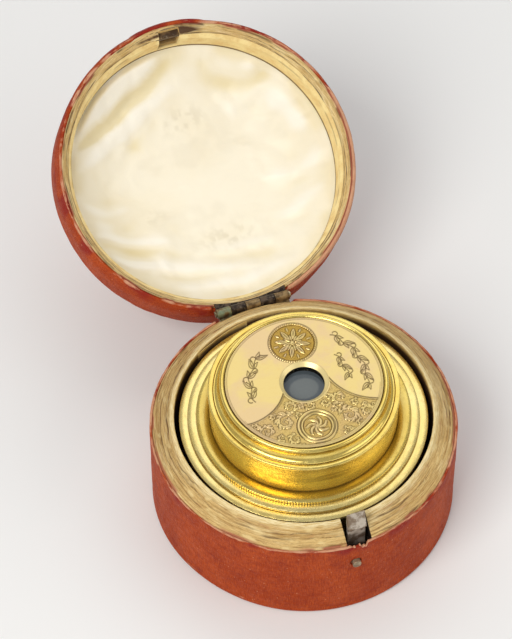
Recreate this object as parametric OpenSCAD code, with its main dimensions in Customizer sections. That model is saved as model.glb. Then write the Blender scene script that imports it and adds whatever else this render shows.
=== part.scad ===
// Draw monocular in its fitted round case.
// The case stands on Z = 0 with its axis on Z, the catch at -Y and the hinge at +Y.
// The lid is drawn closed by its modules and then swung open about the hinge pin.
// The monocular stands eyepiece up in the case: objective below, three draws, eyepiece on top.

/* [Draw tubes] */
// Outer radius of the eyepiece tube, the innermost draw
eye_tube_r = 22.8; // [21.8:0.1:24]
// Wall thickness of every tube
tube_wall = 0.6; // [0.5:0.05:0.8]
// Radial space between one tube and the next
tube_gap = 1.5; // [1.3:0.05:1.8]
// How far each ring stands out past its tube
ring_over = 1.1; // [0.9:0.05:1.3]
// Height from the foot of the monocular to the top of its fixed ring
body_h = 26.15; // [25:0.05:29]
// Thickness of the fixed ring on the body
body_ring_t = 1.3; // [1.1:0.05:1.6]
// Thickness of the ring on the first draw
draw_1_ring_t = 0.85; // [0.75:0.05:1.1]
// Thickness of the ring on the second draw
draw_2_ring_t = 0.95; // [0.85:0.05:1.2]
// Length of the guiding sleeve under each ring
sleeve_l = 3.2; // [2.6:0.1:3.8]
// Height of the stop ring at the foot of each draw
stop_h = 3; // [2.4:0.1:3.6]
// Thickness of the stop ring's lip under its tube
stop_lip_t = 0.6; // [0.4:0.05:0.8]
// How far the eyepiece tube is drawn out at rest
eye_out = 8.95; // [6:0.05:10]
// Number of grooves milled round the second draw's ring
mill_count = 240; // [180:4:260]
// Depth of the milled grooves
mill_depth = 0.14; // [0.1:0.01:0.2]

/* [Eyepiece] */
// How far the eyepiece's lip stands out past its tube
head_over = 0.3; // [0.2:0.05:0.5]
// Height of the eyepiece from its lip's underside to the top of its bead
head_h = 3.98; // [3.8:0.02:4.6]
// Thickness of the eyepiece's lip
head_lip_t = 0.85; // [0.7:0.05:1]
// Width of the flat ledge on the lip
ledge_w = 1.3; // [1.1:0.05:1.5]
// Radius of the eyepiece's plate
plate_r = 19; // [18.2:0.05:19.25]
// Thickness of the eyepiece's plate
plate_t = 1.2; // [1:0.05:1.4]
// Radius of the bead round the plate
bead_r = 0.64; // [0.56:0.02:0.68]
// Radius of the eye hole at the eye lens
eye_hole_r = 5; // [4.5:0.1:5.2]
// Radius of the eye hole at the plate's top
eye_bevel_r = 5.9; // [5.7:0.1:6.2]
// Thickness of the seat between the plate and the eye lens
eye_seat_t = 1.3; // [1:0.1:1.5]
// Radius of the concave eye lens
eye_lens_r = 6.4; // [6:0.1:7]
// Thickness of the eye lens at its edge
eye_lens_t = 2; // [1.7:0.1:2.2]
// Depth of each hollow face of the eye lens
eye_lens_sag = 0.5; // [0.3:0.05:0.7]

/* [Objective] */
// Radius of the objective lens
lens_r = 21; // [19.5:0.1:22]
// Thickness of the objective lens at its edge
lens_edge_t = 1.2; // [1:0.1:1.6]
// Swell of the objective's outer face
lens_swell_low = 0.7; // [0.4:0.05:0.9]
// Swell of the objective's inner face
lens_swell_high = 1.3; // [0.8:0.1:1.6]
// Height of the cell that holds the objective lens
cell_h = 4.6; // [4.2:0.1:5]
// Thickness of the cell's front plate
cell_plate_t = 1; // [0.9:0.05:1.2]
// Radial width of the lip that the lens sits on
cell_lip_w = 1; // [0.7:0.1:1.3]
// Thickness of the ring that holds the lens down
retainer_t = 1.4; // [1.1:0.1:1.6]
// Clear height left between the cell and the foot of the draws
nest_gap = 1.2; // [0.9:0.1:1.6]

/* [Case] */
// Thickness of the leather
leather_t = 0.8; // [0.6:0.05:1]
// Thickness of the outer pasteboard wall
board_t = 4.1; // [3.8:0.1:4.6]
// Thickness of the inner pasteboard tube
liner_t = 1.2; // [1:0.1:1.5]
// Thickness of the pasteboard floor
floor_t = 1.5; // [1.2:0.1:2]
// Thickness of the cloth pad on the floor
pad_t = 0.8; // [0.6:0.1:1]
// Radial gap between the monocular's fixed ring and the case
case_gap = 1.2; // [1:0.1:1.5]
// Height of the case's inner edge above the monocular's fixed ring
lip_proud = 1.7; // [1.3:0.1:2]
// Height of the case's inner edge above its outer edge
lip_rise = 4; // [3.6:0.1:4.2]
// Width of the flat on the case's inner edge
lip_w = 0.5; // [0.4:0.05:0.7]

/* [Lid] */
// Angle that the lid is swung open from closed
lid_open = 154.5; // [100:0.5:160]
// Radial width of the lid's hollow bevel inside the leather
lid_bevel_w = 2.6; // [2.4:0.05:2.8]
// Depth of the lid's hollow bevel
lid_bevel_d = 3.8; // [3.4:0.1:4.2]
// How far the lid's side swells past its edge
lid_swell = 1.2; // [0.8:0.1:1.4]
// Height of the lid's side up to its rounded shoulder
lid_side_h = 11; // [10.4:0.1:12]
// Radius of the lid's rounded shoulder
shoulder_r = 1.6; // [1.3:0.1:1.8]
// Depth of the silk's edge below the lid's edge
silk_d = 9.5; // [9.2:0.1:10]
// Further depth of the silk at the middle of the domed crown
silk_dish = 10.6; // [10.4:0.1:11.4]
// Thickness of the silk's padding
silk_t = 1.2; // [1:0.1:1.5]
// Thickness of the pasteboard crown at its middle
crown_t = 1.6; // [1.3:0.1:2]
// Radial thickness of the lid's paper lining tube
lid_liner_t = 0.9; // [0.8:0.05:1]
// Height of the main folds in the silk
fold_h = 0.75; // [0.4:0.05:0.9]

/* [Hinge] */
// Length of the hinge's barrel
barrel_l = 19; // [17:0.5:20]
// Radius of the hinge's knuckles
knuckle_r = 1.2; // [1.1:0.02:1.25]
// Radius of the hinge pin
pin_r = 0.5; // [0.4:0.05:0.55]
// How far the hinge pin's axis stands out past the leather
hinge_proud = 0.17; // [0.1:0.01:0.25]
// Height of each hinge leaf beside its wall
leaf_h = 7; // [6:0.1:7.5]
// Thickness of each hinge leaf
leaf_t = 0.6; // [0.5:0.05:0.65]
// Radius of the hinge's rivets
rivet_r = 0.5; // [0.4:0.05:0.6]

/* [Catch] */
// How far the tongue and its notch stand to the right of the button
catch_x = 1; // [0.5:0.1:1]
// Width of the notch cut in the case for the catch
notch_w = 6.2; // [5.8:0.1:7]
// Width of the spring tongue
tongue_w = 4.4; // [4:0.1:4.8]
// Thickness of the spring tongue
tongue_t = 0.9; // [0.8:0.05:1]
// Distance of the tongue's outer face from the leather's outside
tongue_in = 3; // [2.9:0.05:3.1]
// Height of the hook's underside above the case's outer edge
hook_h = 3.7; // [3.6:0.05:3.9]
// Height of the hook from its underside to its tip
hook_rise = 4.2; // [3.8:0.1:4.6]
// How far the hook stands out past the tongue
hook_out = 0.9; // [0.8:0.05:0.95]
// How far the hook's tip leans in behind the tongue
hook_lean = 0.4; // [0.3:0.05:0.5]
// Depth of the tongue's rivet below the case's outer edge
tongue_foot = 16; // [15:0.5:17]
// Depth of the push button below the case's outer edge
button_z = 7.3; // [6.5:0.1:8]
// Radius of the push button
button_r = 1.1; // [0.9:0.05:1.2]
// How far the push button stands out of the leather
button_out = 0.9; // [0.7:0.05:1.1]
// Thickness of the lid's keeper bar
keeper_t = 1.2; // [1:0.05:1.3]
// Width of the notch cut in the lid for the hook
lid_notch_w = 5.4; // [5.2:0.1:6]

/* [Fits] */
// Radial running clearance of a sliding tube or a turning pin
run_clear = 0.05; // [0.03:0.01:0.08]
// Clearance of a soldered, screwed or glued joint
joint_clear = 0.02; // [0.01:0.01:0.04]
// Gap between two rings that rest on each other
seat_gap = 0.05; // [0.03:0.01:0.08]
// Gap between the closed lid and the case
lid_gap = 0.1; // [0.05:0.01:0.15]

/* [Hidden] */
$fn = 96;

// Radii of the tubes, from the inside out
draw_3_ri = eye_tube_r - tube_wall;
draw_2_ri = eye_tube_r + tube_gap;
draw_2_ro = draw_2_ri + tube_wall;
draw_1_ri = draw_2_ro + tube_gap;
draw_1_ro = draw_1_ri + tube_wall;
body_ri = draw_1_ro + tube_gap;
body_ro = body_ri + tube_wall;
body_ring_r = body_ro + ring_over;
draw_1_ring_r = draw_1_ro + ring_over;
draw_2_ring_r = draw_2_ro + ring_over;
edge_bevel = 0.15;

// Heights of the monocular in the case
mono_z = leather_t + floor_t + pad_t + seat_gap;
body_top = mono_z + body_h;
body_ring_z = body_top - body_ring_t;
draw_1_ring_z = body_top + seat_gap;
draw_1_top = draw_1_ring_z + draw_1_ring_t;
draw_2_ring_z = draw_1_top + seat_gap;
draw_2_top = draw_2_ring_z + draw_2_ring_t;
head_z = draw_2_top + seat_gap + eye_out;
nest_z = mono_z + cell_h + nest_gap;
eye_nest_z = nest_z + eye_out;

// Radii and heights of the eyepiece
head_r = eye_tube_r + head_over;
head_top = head_z + head_h;
ledge_z = head_z + head_lip_t;
bead_c_r = plate_r + joint_clear + bead_r;
bead_c_z = head_top - bead_r;
plate_z = head_top - plate_t - 0.12;
plate_seat_w = 1.9;
head_skirt_l = 2.4;
head_wall = 0.8;
eye_cell_wall = 1.1;
eye_cell_ri = eye_lens_r + joint_clear;
eye_cell_ro = eye_cell_ri + eye_cell_wall;
eye_cell_h = eye_seat_t + eye_lens_t + 1.2;
eye_mid_r = eye_hole_r + (eye_bevel_r - eye_hole_r) * eye_seat_t / (plate_t + eye_seat_t);
eye_lens_z = plate_z - eye_seat_t - joint_clear;
eye_retainer_w = 1.2;

// Radii of the objective's cell
cell_ro = body_ri - joint_clear;
cell_wall = 1.2;
cell_hole_r = lens_r - cell_lip_w;
cell_cup_ri = lens_r + joint_clear;
cell_cup_ro = cell_cup_ri + cell_wall;
lens_z = mono_z + cell_plate_t;

// Radii and heights of the case
liner_ri = body_ring_r + case_gap;
liner_ro = liner_ri + liner_t;
board_ro = liner_ro + board_t;
case_r = board_ro + leather_t;
lip_z = body_top + lip_proud;
rim_z = lip_z - lip_rise;
cone_ri = liner_ri + lip_w;
floor_z = leather_t;
wall_z = floor_z + floor_t;
foot_round = 0.7;

// Radii and heights of the closed lid, measured up from its edge
lid_z = rim_z + lid_gap;
lid_bore_r = board_ro - lid_bevel_w;
lid_liner_ro = lid_bore_r + lid_liner_t;
lid_side_r = case_r + lid_swell;
shoulder_c_r = lid_side_r - shoulder_r;
shoulder_z = lid_side_h + shoulder_r;
dome_power = 3.5;
back_rings = 6;
silk_r = lid_bore_r - joint_clear;
silk_back = silk_d + silk_dish + silk_t;
crown_seat_z = silk_d + 0.9;
crown_top = silk_back + 5 * joint_clear + crown_t + leather_t;
swell_h = 4.5;

// Places of the hinge
hinge_y = case_r + hinge_proud;
hinge_z = rim_z + lid_gap / 2;
knuckles = 5;
knuckle_gap = 0.15;
knuckle_l = (barrel_l - (knuckles - 1) * knuckle_gap) / knuckles;
leaf_ro = board_ro - joint_clear;
leaf_ri = leaf_ro - leaf_t;
leaf_angle = asin((barrel_l / 2 - 0.3) / board_ro);
web_low = 0.6;
web_z = hinge_z - web_low - leaf_t;
rivet_z = hinge_z - web_low - leaf_h * 0.6;
barrel_clear = 0.25;
pin_head_r = pin_r + 0.3;
pin_head_t = 0.35;
rivet_angle = leaf_angle * 0.6;
rivet_l = 1.6;

// Places of the catch
tongue_ro = case_r - tongue_in;
tongue_ri = tongue_ro - tongue_t;
tongue_mid = tongue_ro - tongue_t / 2;
foot_z = rim_z - tongue_foot;
hook_z = rim_z + hook_h;
hook_top = hook_z + hook_rise;
foot_below = 2;
notch_floor_z = foot_z + 5.5;
tongue_clear = 0.3;
catch_rivet_r = 0.8;
catch_rivet_head_r = 1.2;
catch_rivet_head_t = 0.5;
catch_rivet_gap = 2 * run_clear;
button_shank_r = 0.75;
button_hole_r = button_r + 0.3;
keeper_ri = tongue_ro + 0.2;
keeper_ro = keeper_ri + 1.6;
keeper_w = lid_notch_w + 1.6;
keeper_z = hook_z - lid_z - 0.2 - keeper_t;
keeper_x = catch_x + tongue_w / 2 + 0.2 - lid_notch_w / 2;

// A ring or disc turned from a profile of radius and height
module turned(profile) {
    rotate_extrude() polygon(profile);
}

// A plain tube
module tube(ri, ro, z0, z1) {
    turned([[ri, z0], [ro, z0], [ro, z1], [ri, z1]]);
}

// Points of a circular arc
function arc(cx, cy, r, a0, a1, n) =
    [for (i = [0:n]) let (a = a0 + (a1 - a0) * i / n) [cx + r * cos(a), cy + r * sin(a)]];

// Height of the case's sloped rim at a radius
function rim_height(r) = rim_z + lip_rise * (board_ro - r) / (board_ro - cone_ri);

// Height of the closed lid's bevel above its edge at a radius
function bevel_height(r) = lid_bevel_d * (board_ro - r) / lid_bevel_w;

// Share of a dome's height that is left at a radius
function dome(r, r_edge) = 1 - pow(min(r / r_edge, 1), dome_power);

// The lid's outline from its edge to the middle of its crown, drawn in by a skin thickness
function lid_outline(skin) = concat(
    [for (i = [0:5]) [case_r - skin + lid_swell * sin(90 * i / 5), swell_h * i / 5]],
    arc(shoulder_c_r, lid_side_h, shoulder_r - skin, 0, 60, 4),
    [for (i = [1:12]) let (
        r0 = shoulder_c_r + (shoulder_r - skin) * cos(60),
        z0 = lid_side_h + (shoulder_r - skin) * sin(60),
        r = r0 * (1 - pow(i / 12, 1.4)))
        [max(r, 0), z0 + (crown_top - skin - z0) * dome(r, r0)]]
);

// Silk's height above the lid's edge, without its folds
function silk_height(r) = silk_d + silk_dish * dome(r, silk_r);

// Swings a part of the closed lid open about the hinge pin
module opened() {
    translate([0, hinge_y, hinge_z]) rotate([-lid_open, 0, 0]) translate([0, -hinge_y, -hinge_z])
        translate([0, 0, lid_z]) children();
}

// A cylinder along X on the hinge pin's axis
module along_pin(r, x0, x1, y, z) {
    translate([x0, y, z]) rotate([0, 90, 0]) cylinder(r = r, h = x1 - x0);
}

// A cylinder that points out from the case's axis towards +Y, turned by an angle
module radial(angle, r, r0, r1, z) {
    rotate([0, 0, angle]) translate([0, r0, z]) rotate([-90, 0, 0]) cylinder(r = r, h = r1 - r0);
}

// Part of a tube round +Y that a hinge leaf fills
module leaf_arc(ri, ro, half_angle, z0, z1) {
    rotate([0, 0, 90 - half_angle]) rotate_extrude(angle = 2 * half_angle)
        polygon([[ri, z0], [ro, z0], [ro, z1], [ri, z1]]);
}

// What lies further from the case's axis than a radius
module outside(r) {
    difference() {
        children();
        translate([0, 0, hinge_z - 5]) cylinder(r = r, h = 10);
    }
}

function knuckle_x(i) = -barrel_l / 2 + i * (knuckle_l + knuckle_gap);

// One hinge leaf hanging below its pin: an arc against the wall, a web and every second knuckle
module hinge_leaf(first) {
    difference() {
        union() {
            leaf_arc(leaf_ri, leaf_ro, leaf_angle, hinge_z - web_low - leaf_h, hinge_z - web_low);
            outside(leaf_ri + 0.05)
                translate([0.3 - barrel_l / 2, board_ro * cos(leaf_angle) - leaf_t - 0.4, web_z])
                cube([barrel_l - 0.6, hinge_y - board_ro * cos(leaf_angle) + leaf_t, leaf_t]);
            for (i = [first:2:knuckles - 1])
                along_pin(knuckle_r, knuckle_x(i), knuckle_x(i) + knuckle_l, hinge_y, hinge_z);
        }
        for (i = [1 - first:2:knuckles - 1])
            along_pin(knuckle_r + 0.2, knuckle_x(i) - knuckle_gap, knuckle_x(i) + knuckle_l + knuckle_gap,
                hinge_y, hinge_z);
        along_pin(pin_r + run_clear, -barrel_l, barrel_l, hinge_y, hinge_z);
        for (s = [-1, 1])
            radial(s * rivet_angle, rivet_r + joint_clear, leaf_ri - 1, leaf_ro + 1, rivet_z);
    }
}

// Two rivets that hold a hinge leaf to its wall, flush with the leaf
module hinge_rivets() {
    for (s = [-1, 1]) radial(s * rivet_angle, rivet_r, leaf_ro - rivet_l, leaf_ro, rivet_z);
}

// Room for a hinge leaf, its web, its rivets and the barrel
module hinge_pocket() {
    leaf_arc(leaf_ri - joint_clear, case_r + 2 * lid_swell, leaf_angle + 0.2,
        hinge_z - web_low - leaf_h - joint_clear, hinge_z + web_low);
    outside(leaf_ri + 0.03) hinge_web_room();
    along_pin(knuckle_r + barrel_clear, -barrel_l / 2 - 0.6, barrel_l / 2 + 0.6, hinge_y, hinge_z);
    for (s = [-1, 1])
        radial(s * rivet_angle, rivet_r + joint_clear, leaf_ro - rivet_l - joint_clear, leaf_ro, rivet_z);
}

// Room for a leaf's skin of leather: the barrel only
module barrel_cut() {
    along_pin(knuckle_r + barrel_clear, -barrel_l / 2 - 0.6, barrel_l / 2 + 0.6, hinge_y, hinge_z);
}

// A box centred on an X and reaching from one distance to another towards -Y
module front_box(x, w, r0, r1, z0, z1) {
    translate([x - w / 2, -r1, z0]) cube([w, r1 - r0, z1 - z0]);
}

module case_leather_base() {
    color([0.60, 0.24, 0.14])
    turned(concat([[0, 0]], arc(case_r - foot_round, foot_round, foot_round, -90, 0, 5),
        [[case_r, leather_t], [0, leather_t]]));
}

module case_leather_side() {
    color([0.66, 0.28, 0.15])
    difference() {
        tube(board_ro, case_r, floor_z, rim_z);
        barrel_cut();
        hinge_web_room();
        radial(180, button_hole_r, board_ro - 1, case_r + 1, rim_z - button_z);
    }
}

// Room in the leather for the webs between a leaf and its knuckles
module hinge_web_room() {
    translate([-barrel_l / 2, board_ro * cos(leaf_angle) - leaf_t - 0.5, web_z - joint_clear])
        cube([barrel_l, 2 * board_ro, 2 * web_low + leaf_t]);
}

module case_floor() {
    color([0.74, 0.62, 0.42])
    translate([0, 0, floor_z]) cylinder(r = board_ro, h = floor_t);
}

module case_wall() {
    color([0.75, 0.62, 0.40])
    difference() {
        turned([[liner_ro, wall_z], [board_ro, wall_z], [board_ro, rim_z],
            [liner_ro, rim_height(liner_ro)]]);
        hinge_pocket();
        front_box(catch_x, notch_w, liner_ri - 1, tongue_ro + tongue_clear,
            foot_z - foot_below - tongue_clear, lip_z + 1);
        front_box(catch_x, notch_w, liner_ri - 1, case_r, notch_floor_z, lip_z + 1);
        translate([catch_x, 0, 0])
            radial(180, catch_rivet_r + joint_clear, liner_ro, board_ro - 0.1, foot_z);
    }
}

module case_liner() {
    color([0.86, 0.76, 0.56])
    difference() {
        turned([[liner_ri, wall_z], [liner_ro - joint_clear, wall_z],
            [liner_ro - joint_clear, rim_height(liner_ro - joint_clear)],
            [cone_ri, lip_z], [liner_ri, lip_z]]);
        front_box(catch_x, notch_w, liner_ri - 2, case_r, notch_floor_z, lip_z + 1);
    }
}

module case_floor_pad() {
    color([0.42, 0.16, 0.14])
    translate([0, 0, wall_z]) cylinder(r = liner_ri - 3 * seat_gap, h = pad_t);
}

module hinge_base_leaf() {
    color([0.42, 0.37, 0.28])
    hinge_leaf(0);
}

module hinge_base_rivets() {
    color([0.70, 0.58, 0.32])
    hinge_rivets();
}

module hinge_pin() {
    color([0.50, 0.44, 0.32]) {
        along_pin(pin_r, -barrel_l / 2 - 0.1, barrel_l / 2 + 0.1, hinge_y, hinge_z);
        for (s = [-1, 1])
            translate([s * (barrel_l / 2 + 0.05 + pin_head_t / 2), hinge_y, hinge_z])
                rotate([0, 90, 0]) cylinder(r = pin_head_r, h = pin_head_t, center = true);
    }
}

// The tongue's rivet: a shank in the wall and a head on the tongue's inner face
module catch_rivet() {
    color([0.48, 0.47, 0.44]) translate([catch_x, 0, 0]) {
        radial(180, catch_rivet_r, tongue_ri - catch_rivet_gap - 0.1, board_ro - 0.2, foot_z);
        radial(180, catch_rivet_head_r, tongue_ri - catch_rivet_gap - catch_rivet_head_t,
            tongue_ri - catch_rivet_gap, foot_z);
    }
}

// The spring tongue with its hook, seen from the side and given its width
module catch_spring() {
    hook_tip = tongue_ro + hook_out;
    outline = [
        [-tongue_ri, foot_z - foot_below], [-tongue_ro, foot_z - foot_below],
        [-tongue_ro, hook_z], [-hook_tip + 0.1, hook_z], [-hook_tip, hook_z + 0.12],
        [-tongue_ri + hook_lean - 0.35, hook_top], [-tongue_ri + hook_lean, hook_top - 0.2],
        [-tongue_ri + hook_lean, hook_z + 1.2], [-tongue_ri, hook_z - 0.2]
    ];
    color([0.52, 0.50, 0.46])
    difference() {
        translate([catch_x - tongue_w / 2, 0, 0])
            rotate([90, 0, 90]) linear_extrude(tongue_w) polygon(outline);
        translate([catch_x, 0, 0])
            radial(180, catch_rivet_r + 2 * run_clear, tongue_ri - 1, tongue_ro + 1, foot_z);
        radial(180, button_shank_r + joint_clear, tongue_ri - 1, tongue_ro + 1, rim_z - button_z);
    }
}

module catch_button() {
    color([0.62, 0.58, 0.50]) {
        radial(180, button_shank_r, tongue_ri - 0.3, case_r + 0.1, rim_z - button_z);
        rotate([0, 0, 180]) translate([0, 0, rim_z - button_z]) rotate([-90, 0, 0]) turned(concat(
            [[0, tongue_ro + joint_clear], [button_r, tongue_ro + joint_clear]],
            [[button_r, case_r + button_out - 0.35]],
            arc(button_r - 0.35, case_r + button_out - 0.35, 0.35, 20, 90, 3),
            [[0, case_r + button_out]]));
    }
}

// The lid's outer pasteboard ring, up to the crown's seat
module lid_wall() {
    outer = [for (p = lid_outline(leather_t)) if (p[1] < crown_seat_z) p];
    color([0.78, 0.64, 0.42])
    opened() difference() {
        turned(concat([[lid_liner_ro, bevel_height(lid_liner_ro)]], outer,
            [[lid_side_r - leather_t, crown_seat_z], [lid_liner_ro, crown_seat_z]]));
        translate([0, 0, -lid_z]) mirrored_hinge() hinge_pocket();
        front_box(keeper_x, lid_notch_w, lid_bore_r - 1, keeper_ro + joint_clear, -1, silk_d - 0.3);
        keeper_room();
    }
}

// Turns a shape at the hinge upside down about the pin's level
module mirrored_hinge() {
    translate([0, 0, hinge_z]) mirror([0, 0, 1]) translate([0, 0, -hinge_z]) children();
}

// Slots at both sides of the lid's notch that hold the keeper bar
module keeper_room() {
    front_box(keeper_x, keeper_w + 2 * joint_clear, keeper_ri - joint_clear, keeper_ro + joint_clear,
        keeper_z - joint_clear, keeper_z + keeper_t + joint_clear);
}

// The domed pasteboard crown: outside like the leather, inside like the silk's back
module lid_crown() {
    outer = [for (p = lid_outline(leather_t)) if (p[1] > crown_seat_z) p];
    inner = [for (i = [0:back_rings]) let (r = silk_r * sin(90 * i / back_rings))
        [r, silk_height(r) + silk_t + 3 * joint_clear]];
    color([0.72, 0.58, 0.38])
    opened() turned(concat(inner, [[lid_liner_ro, crown_seat_z + joint_clear]],
        [[lid_side_r - leather_t, crown_seat_z + joint_clear]], outer));
}

module lid_leather() {
    skin = lid_outline(0);
    back = lid_outline(leather_t - joint_clear);
    color([0.66, 0.28, 0.15])
    opened() difference() {
        turned(concat(skin, [for (i = [len(back) - 1:-1:0]) back[i]]));
        translate([0, 0, -lid_z]) mirrored_hinge() hinge_web_room();
        translate([0, 0, -lid_z]) barrel_cut();
    }
}

module lid_liner() {
    color([0.93, 0.85, 0.66])
    opened() difference() {
        turned([[lid_bore_r, bevel_height(lid_bore_r)],
            [lid_liner_ro - joint_clear, bevel_height(lid_liner_ro)],
            [lid_liner_ro - joint_clear, crown_seat_z], [lid_bore_r, crown_seat_z]]);
        front_box(keeper_x, lid_notch_w, lid_bore_r - 1, case_r, -1, silk_d - 0.3);
        keeper_room();
    }
}

// Main folds of the silk: two ends in plan, and a share of the fold height
silk_folds = [
    [[-31, -17], [-5, -32], 1], [[-28, -22], [-12, -26], 0.5], [[21, -24], [6, -25], 0.6],
    [[24, -20], [31, -12], 0.4], [[-19, 15], [8, 20], 0.5], [[-10, 23], [14, 25], 0.4]
];
fold_w = 2.6;

// Distance from a point to a stretch between two ends
function reach(p, a, b) = let (
    d = b - a,
    t = min(max(((p - a) * d) / (d * d), 0), 1))
    norm(p - a - t * d);

// Swell of the silk towards the eye at a point of its plan
function folds_at(p) = fold_h * max([for (f = silk_folds)
    f[2] * exp(-pow(reach(p, f[0], f[1]) / fold_w, 2))]);

// The padded silk lining: folds on its face, drawn in at its rim, dished like the crown behind
module lid_silk_pad() {
    rings = 14;
    sides = 48;
    rim_roll = 0.8;
    front = [for (i = [1:rings], j = [0:sides - 1]) let (
        r = silk_r * sin(90 * i / rings),
        p = [r * cos(360 * j / sides), r * sin(360 * j / sides)])
        [p[0], p[1], silk_height(r) - (i < rings ? folds_at(p) : -rim_roll)]];
    back = [for (i = [1:back_rings], j = [0:sides - 1]) let (r = silk_r * sin(90 * i / back_rings))
        [r * cos(360 * j / sides), r * sin(360 * j / sides), silk_height(r) + silk_t]];
    points = concat([[0, 0, silk_height(0)]], front, [[0, 0, silk_height(0) + silk_t]], back);
    mid = 1 + rings * sides;
    function f(i, j) = 1 + (i - 1) * sides + j % sides;
    function b(i, j) = mid + 1 + (i - 1) * sides + j % sides;
    faces = concat(
        [for (j = [0:sides - 1]) [0, f(1, j), f(1, j + 1)]],
        [for (i = [1:rings - 1], j = [0:sides - 1]) each [
            [f(i, j), f(i + 1, j), f(i + 1, j + 1)], [f(i, j), f(i + 1, j + 1), f(i, j + 1)]]],
        [for (j = [0:sides - 1]) [mid, b(1, j + 1), b(1, j)]],
        [for (i = [1:back_rings - 1], j = [0:sides - 1]) each [
            [b(i, j), b(i + 1, j + 1), b(i + 1, j)], [b(i, j), b(i, j + 1), b(i + 1, j + 1)]]],
        [for (j = [0:sides - 1]) each [
            [f(rings, j), b(back_rings, j), b(back_rings, j + 1)],
            [f(rings, j), b(back_rings, j + 1), f(rings, j + 1)]]]
    );
    color([0.95, 0.92, 0.82])
    opened() polyhedron(points, faces);
}

module lid_keeper() {
    color([0.55, 0.50, 0.40])
    opened() front_box(keeper_x, keeper_w, keeper_ri, keeper_ro, keeper_z, keeper_z + keeper_t);
}

module hinge_lid_leaf() {
    color([0.45, 0.40, 0.30])
    opened() translate([0, 0, -lid_z]) mirrored_hinge() hinge_leaf(1);
}

module hinge_lid_rivets() {
    color([0.70, 0.58, 0.32])
    opened() translate([0, 0, -lid_z]) mirrored_hinge() hinge_rivets();
}

module body_tube() {
    color([0.88, 0.70, 0.30])
    tube(body_ri, body_ro, mono_z + cell_plate_t + joint_clear, body_ring_z);
}

// A ring on top of a tube with the sleeve that guides the next draw
module sleeve_ring(outer_r, tube_in, bore, z, t) {
    turned([
        [bore, z - sleeve_l], [tube_in - joint_clear, z - sleeve_l], [tube_in - joint_clear, z],
        [outer_r, z], [outer_r, z + t - edge_bevel], [outer_r - edge_bevel, z + t], [bore, z + t]
    ]);
}

// A stop ring at the foot of a draw, with a lip under the tube
module stop_ring(tube_in, tube_out, outer_in, z) {
    turned([
        [tube_in, z], [outer_in - run_clear - edge_bevel, z], [outer_in - run_clear, z + edge_bevel],
        [outer_in - run_clear, z + stop_h], [tube_out + joint_clear, z + stop_h],
        [tube_out + joint_clear, z + stop_lip_t], [tube_in, z + stop_lip_t]
    ]);
}

module body_ring() {
    color([0.92, 0.78, 0.40])
    sleeve_ring(body_ring_r, body_ri, draw_1_ro + run_clear, body_ring_z, body_ring_t);
}

module objective_cell() {
    color([0.85, 0.68, 0.30])
    turned([
        [cell_hole_r, mono_z], [body_ro, mono_z], [body_ro, mono_z + cell_plate_t],
        [cell_ro, mono_z + cell_plate_t], [cell_ro, mono_z + cell_h], [cell_ro - cell_wall, mono_z + cell_h],
        [cell_ro - cell_wall, mono_z + cell_plate_t], [cell_cup_ro, mono_z + cell_plate_t],
        [cell_cup_ro, mono_z + cell_h], [cell_cup_ri, mono_z + cell_h],
        [cell_cup_ri, mono_z + cell_plate_t], [cell_hole_r, mono_z + cell_plate_t]
    ]);
}

// Points of a lens face from the axis to its edge: positive sag swells upwards
function lens_face(r, z, sag) = [for (i = [0:8]) let (t = i / 8) [r * t, z + sag * (1 - t * t)]];

module objective_lens() {
    low = lens_face(cell_hole_r, lens_z + joint_clear, -lens_swell_low);
    high = lens_face(lens_r, lens_z + joint_clear + lens_edge_t, lens_swell_high);
    color([0.70, 0.80, 0.84, 0.5])
    turned(concat(low, [[lens_r, lens_z + joint_clear]], [for (i = [len(high) - 1:-1:0]) high[i]]));
}

module objective_retaining_ring() {
    z = lens_z + 2 * joint_clear + lens_edge_t;
    inner_r = cell_hole_r - 0.3;
    color([0.80, 0.64, 0.28])
    tube(inner_r, lens_r, z + lens_swell_high * (1 - pow(inner_r / lens_r, 2)), z + retainer_t);
}

module draw_1_tube() {
    color([0.90, 0.72, 0.32])
    tube(draw_1_ri, draw_1_ro, nest_z + stop_lip_t, draw_1_ring_z);
}

module draw_1_ring() {
    color([0.92, 0.78, 0.40])
    sleeve_ring(draw_1_ring_r, draw_1_ri, draw_2_ro + run_clear, draw_1_ring_z, draw_1_ring_t);
}

module draw_1_stop_ring() {
    color([0.80, 0.64, 0.28])
    stop_ring(draw_1_ri, draw_1_ro, body_ri, nest_z);
}

module draw_2_tube() {
    color([0.90, 0.72, 0.32])
    tube(draw_2_ri, draw_2_ro, nest_z + stop_lip_t, draw_2_ring_z);
}

// The second draw's ring: its edge is milled with fine upright grooves to be gripped
module draw_2_ring() {
    milled = [for (i = [0:2 * mill_count - 1]) let (
        a = 180 * i / mill_count,
        r = draw_2_ring_r - (i % 2) * mill_depth)
        [r * cos(a), r * sin(a)]];
    shoulder = 0.2;
    color([0.92, 0.78, 0.40])
    union() {
        difference() {
            translate([0, 0, draw_2_ring_z]) linear_extrude(draw_2_ring_t - shoulder) polygon(milled);
            translate([0, 0, draw_2_ring_z - 1]) cylinder(r = draw_2_ring_r - 1, h = draw_2_ring_t + 2);
        }
        sleeve_ring(draw_2_ring_r - mill_depth - 0.02, draw_2_ri, eye_tube_r + run_clear, draw_2_ring_z,
            draw_2_ring_t);
    }
}

module draw_2_stop_ring() {
    color([0.80, 0.64, 0.28])
    stop_ring(draw_2_ri, draw_2_ro, draw_1_ri, nest_z);
}

module eyepiece_tube() {
    color([0.93, 0.76, 0.34])
    tube(draw_3_ri, eye_tube_r, eye_nest_z + stop_lip_t, head_z);
}

module eyepiece_stop_ring() {
    color([0.80, 0.64, 0.28])
    stop_ring(draw_3_ri, eye_tube_r, draw_2_ri, eye_nest_z);
}

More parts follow.
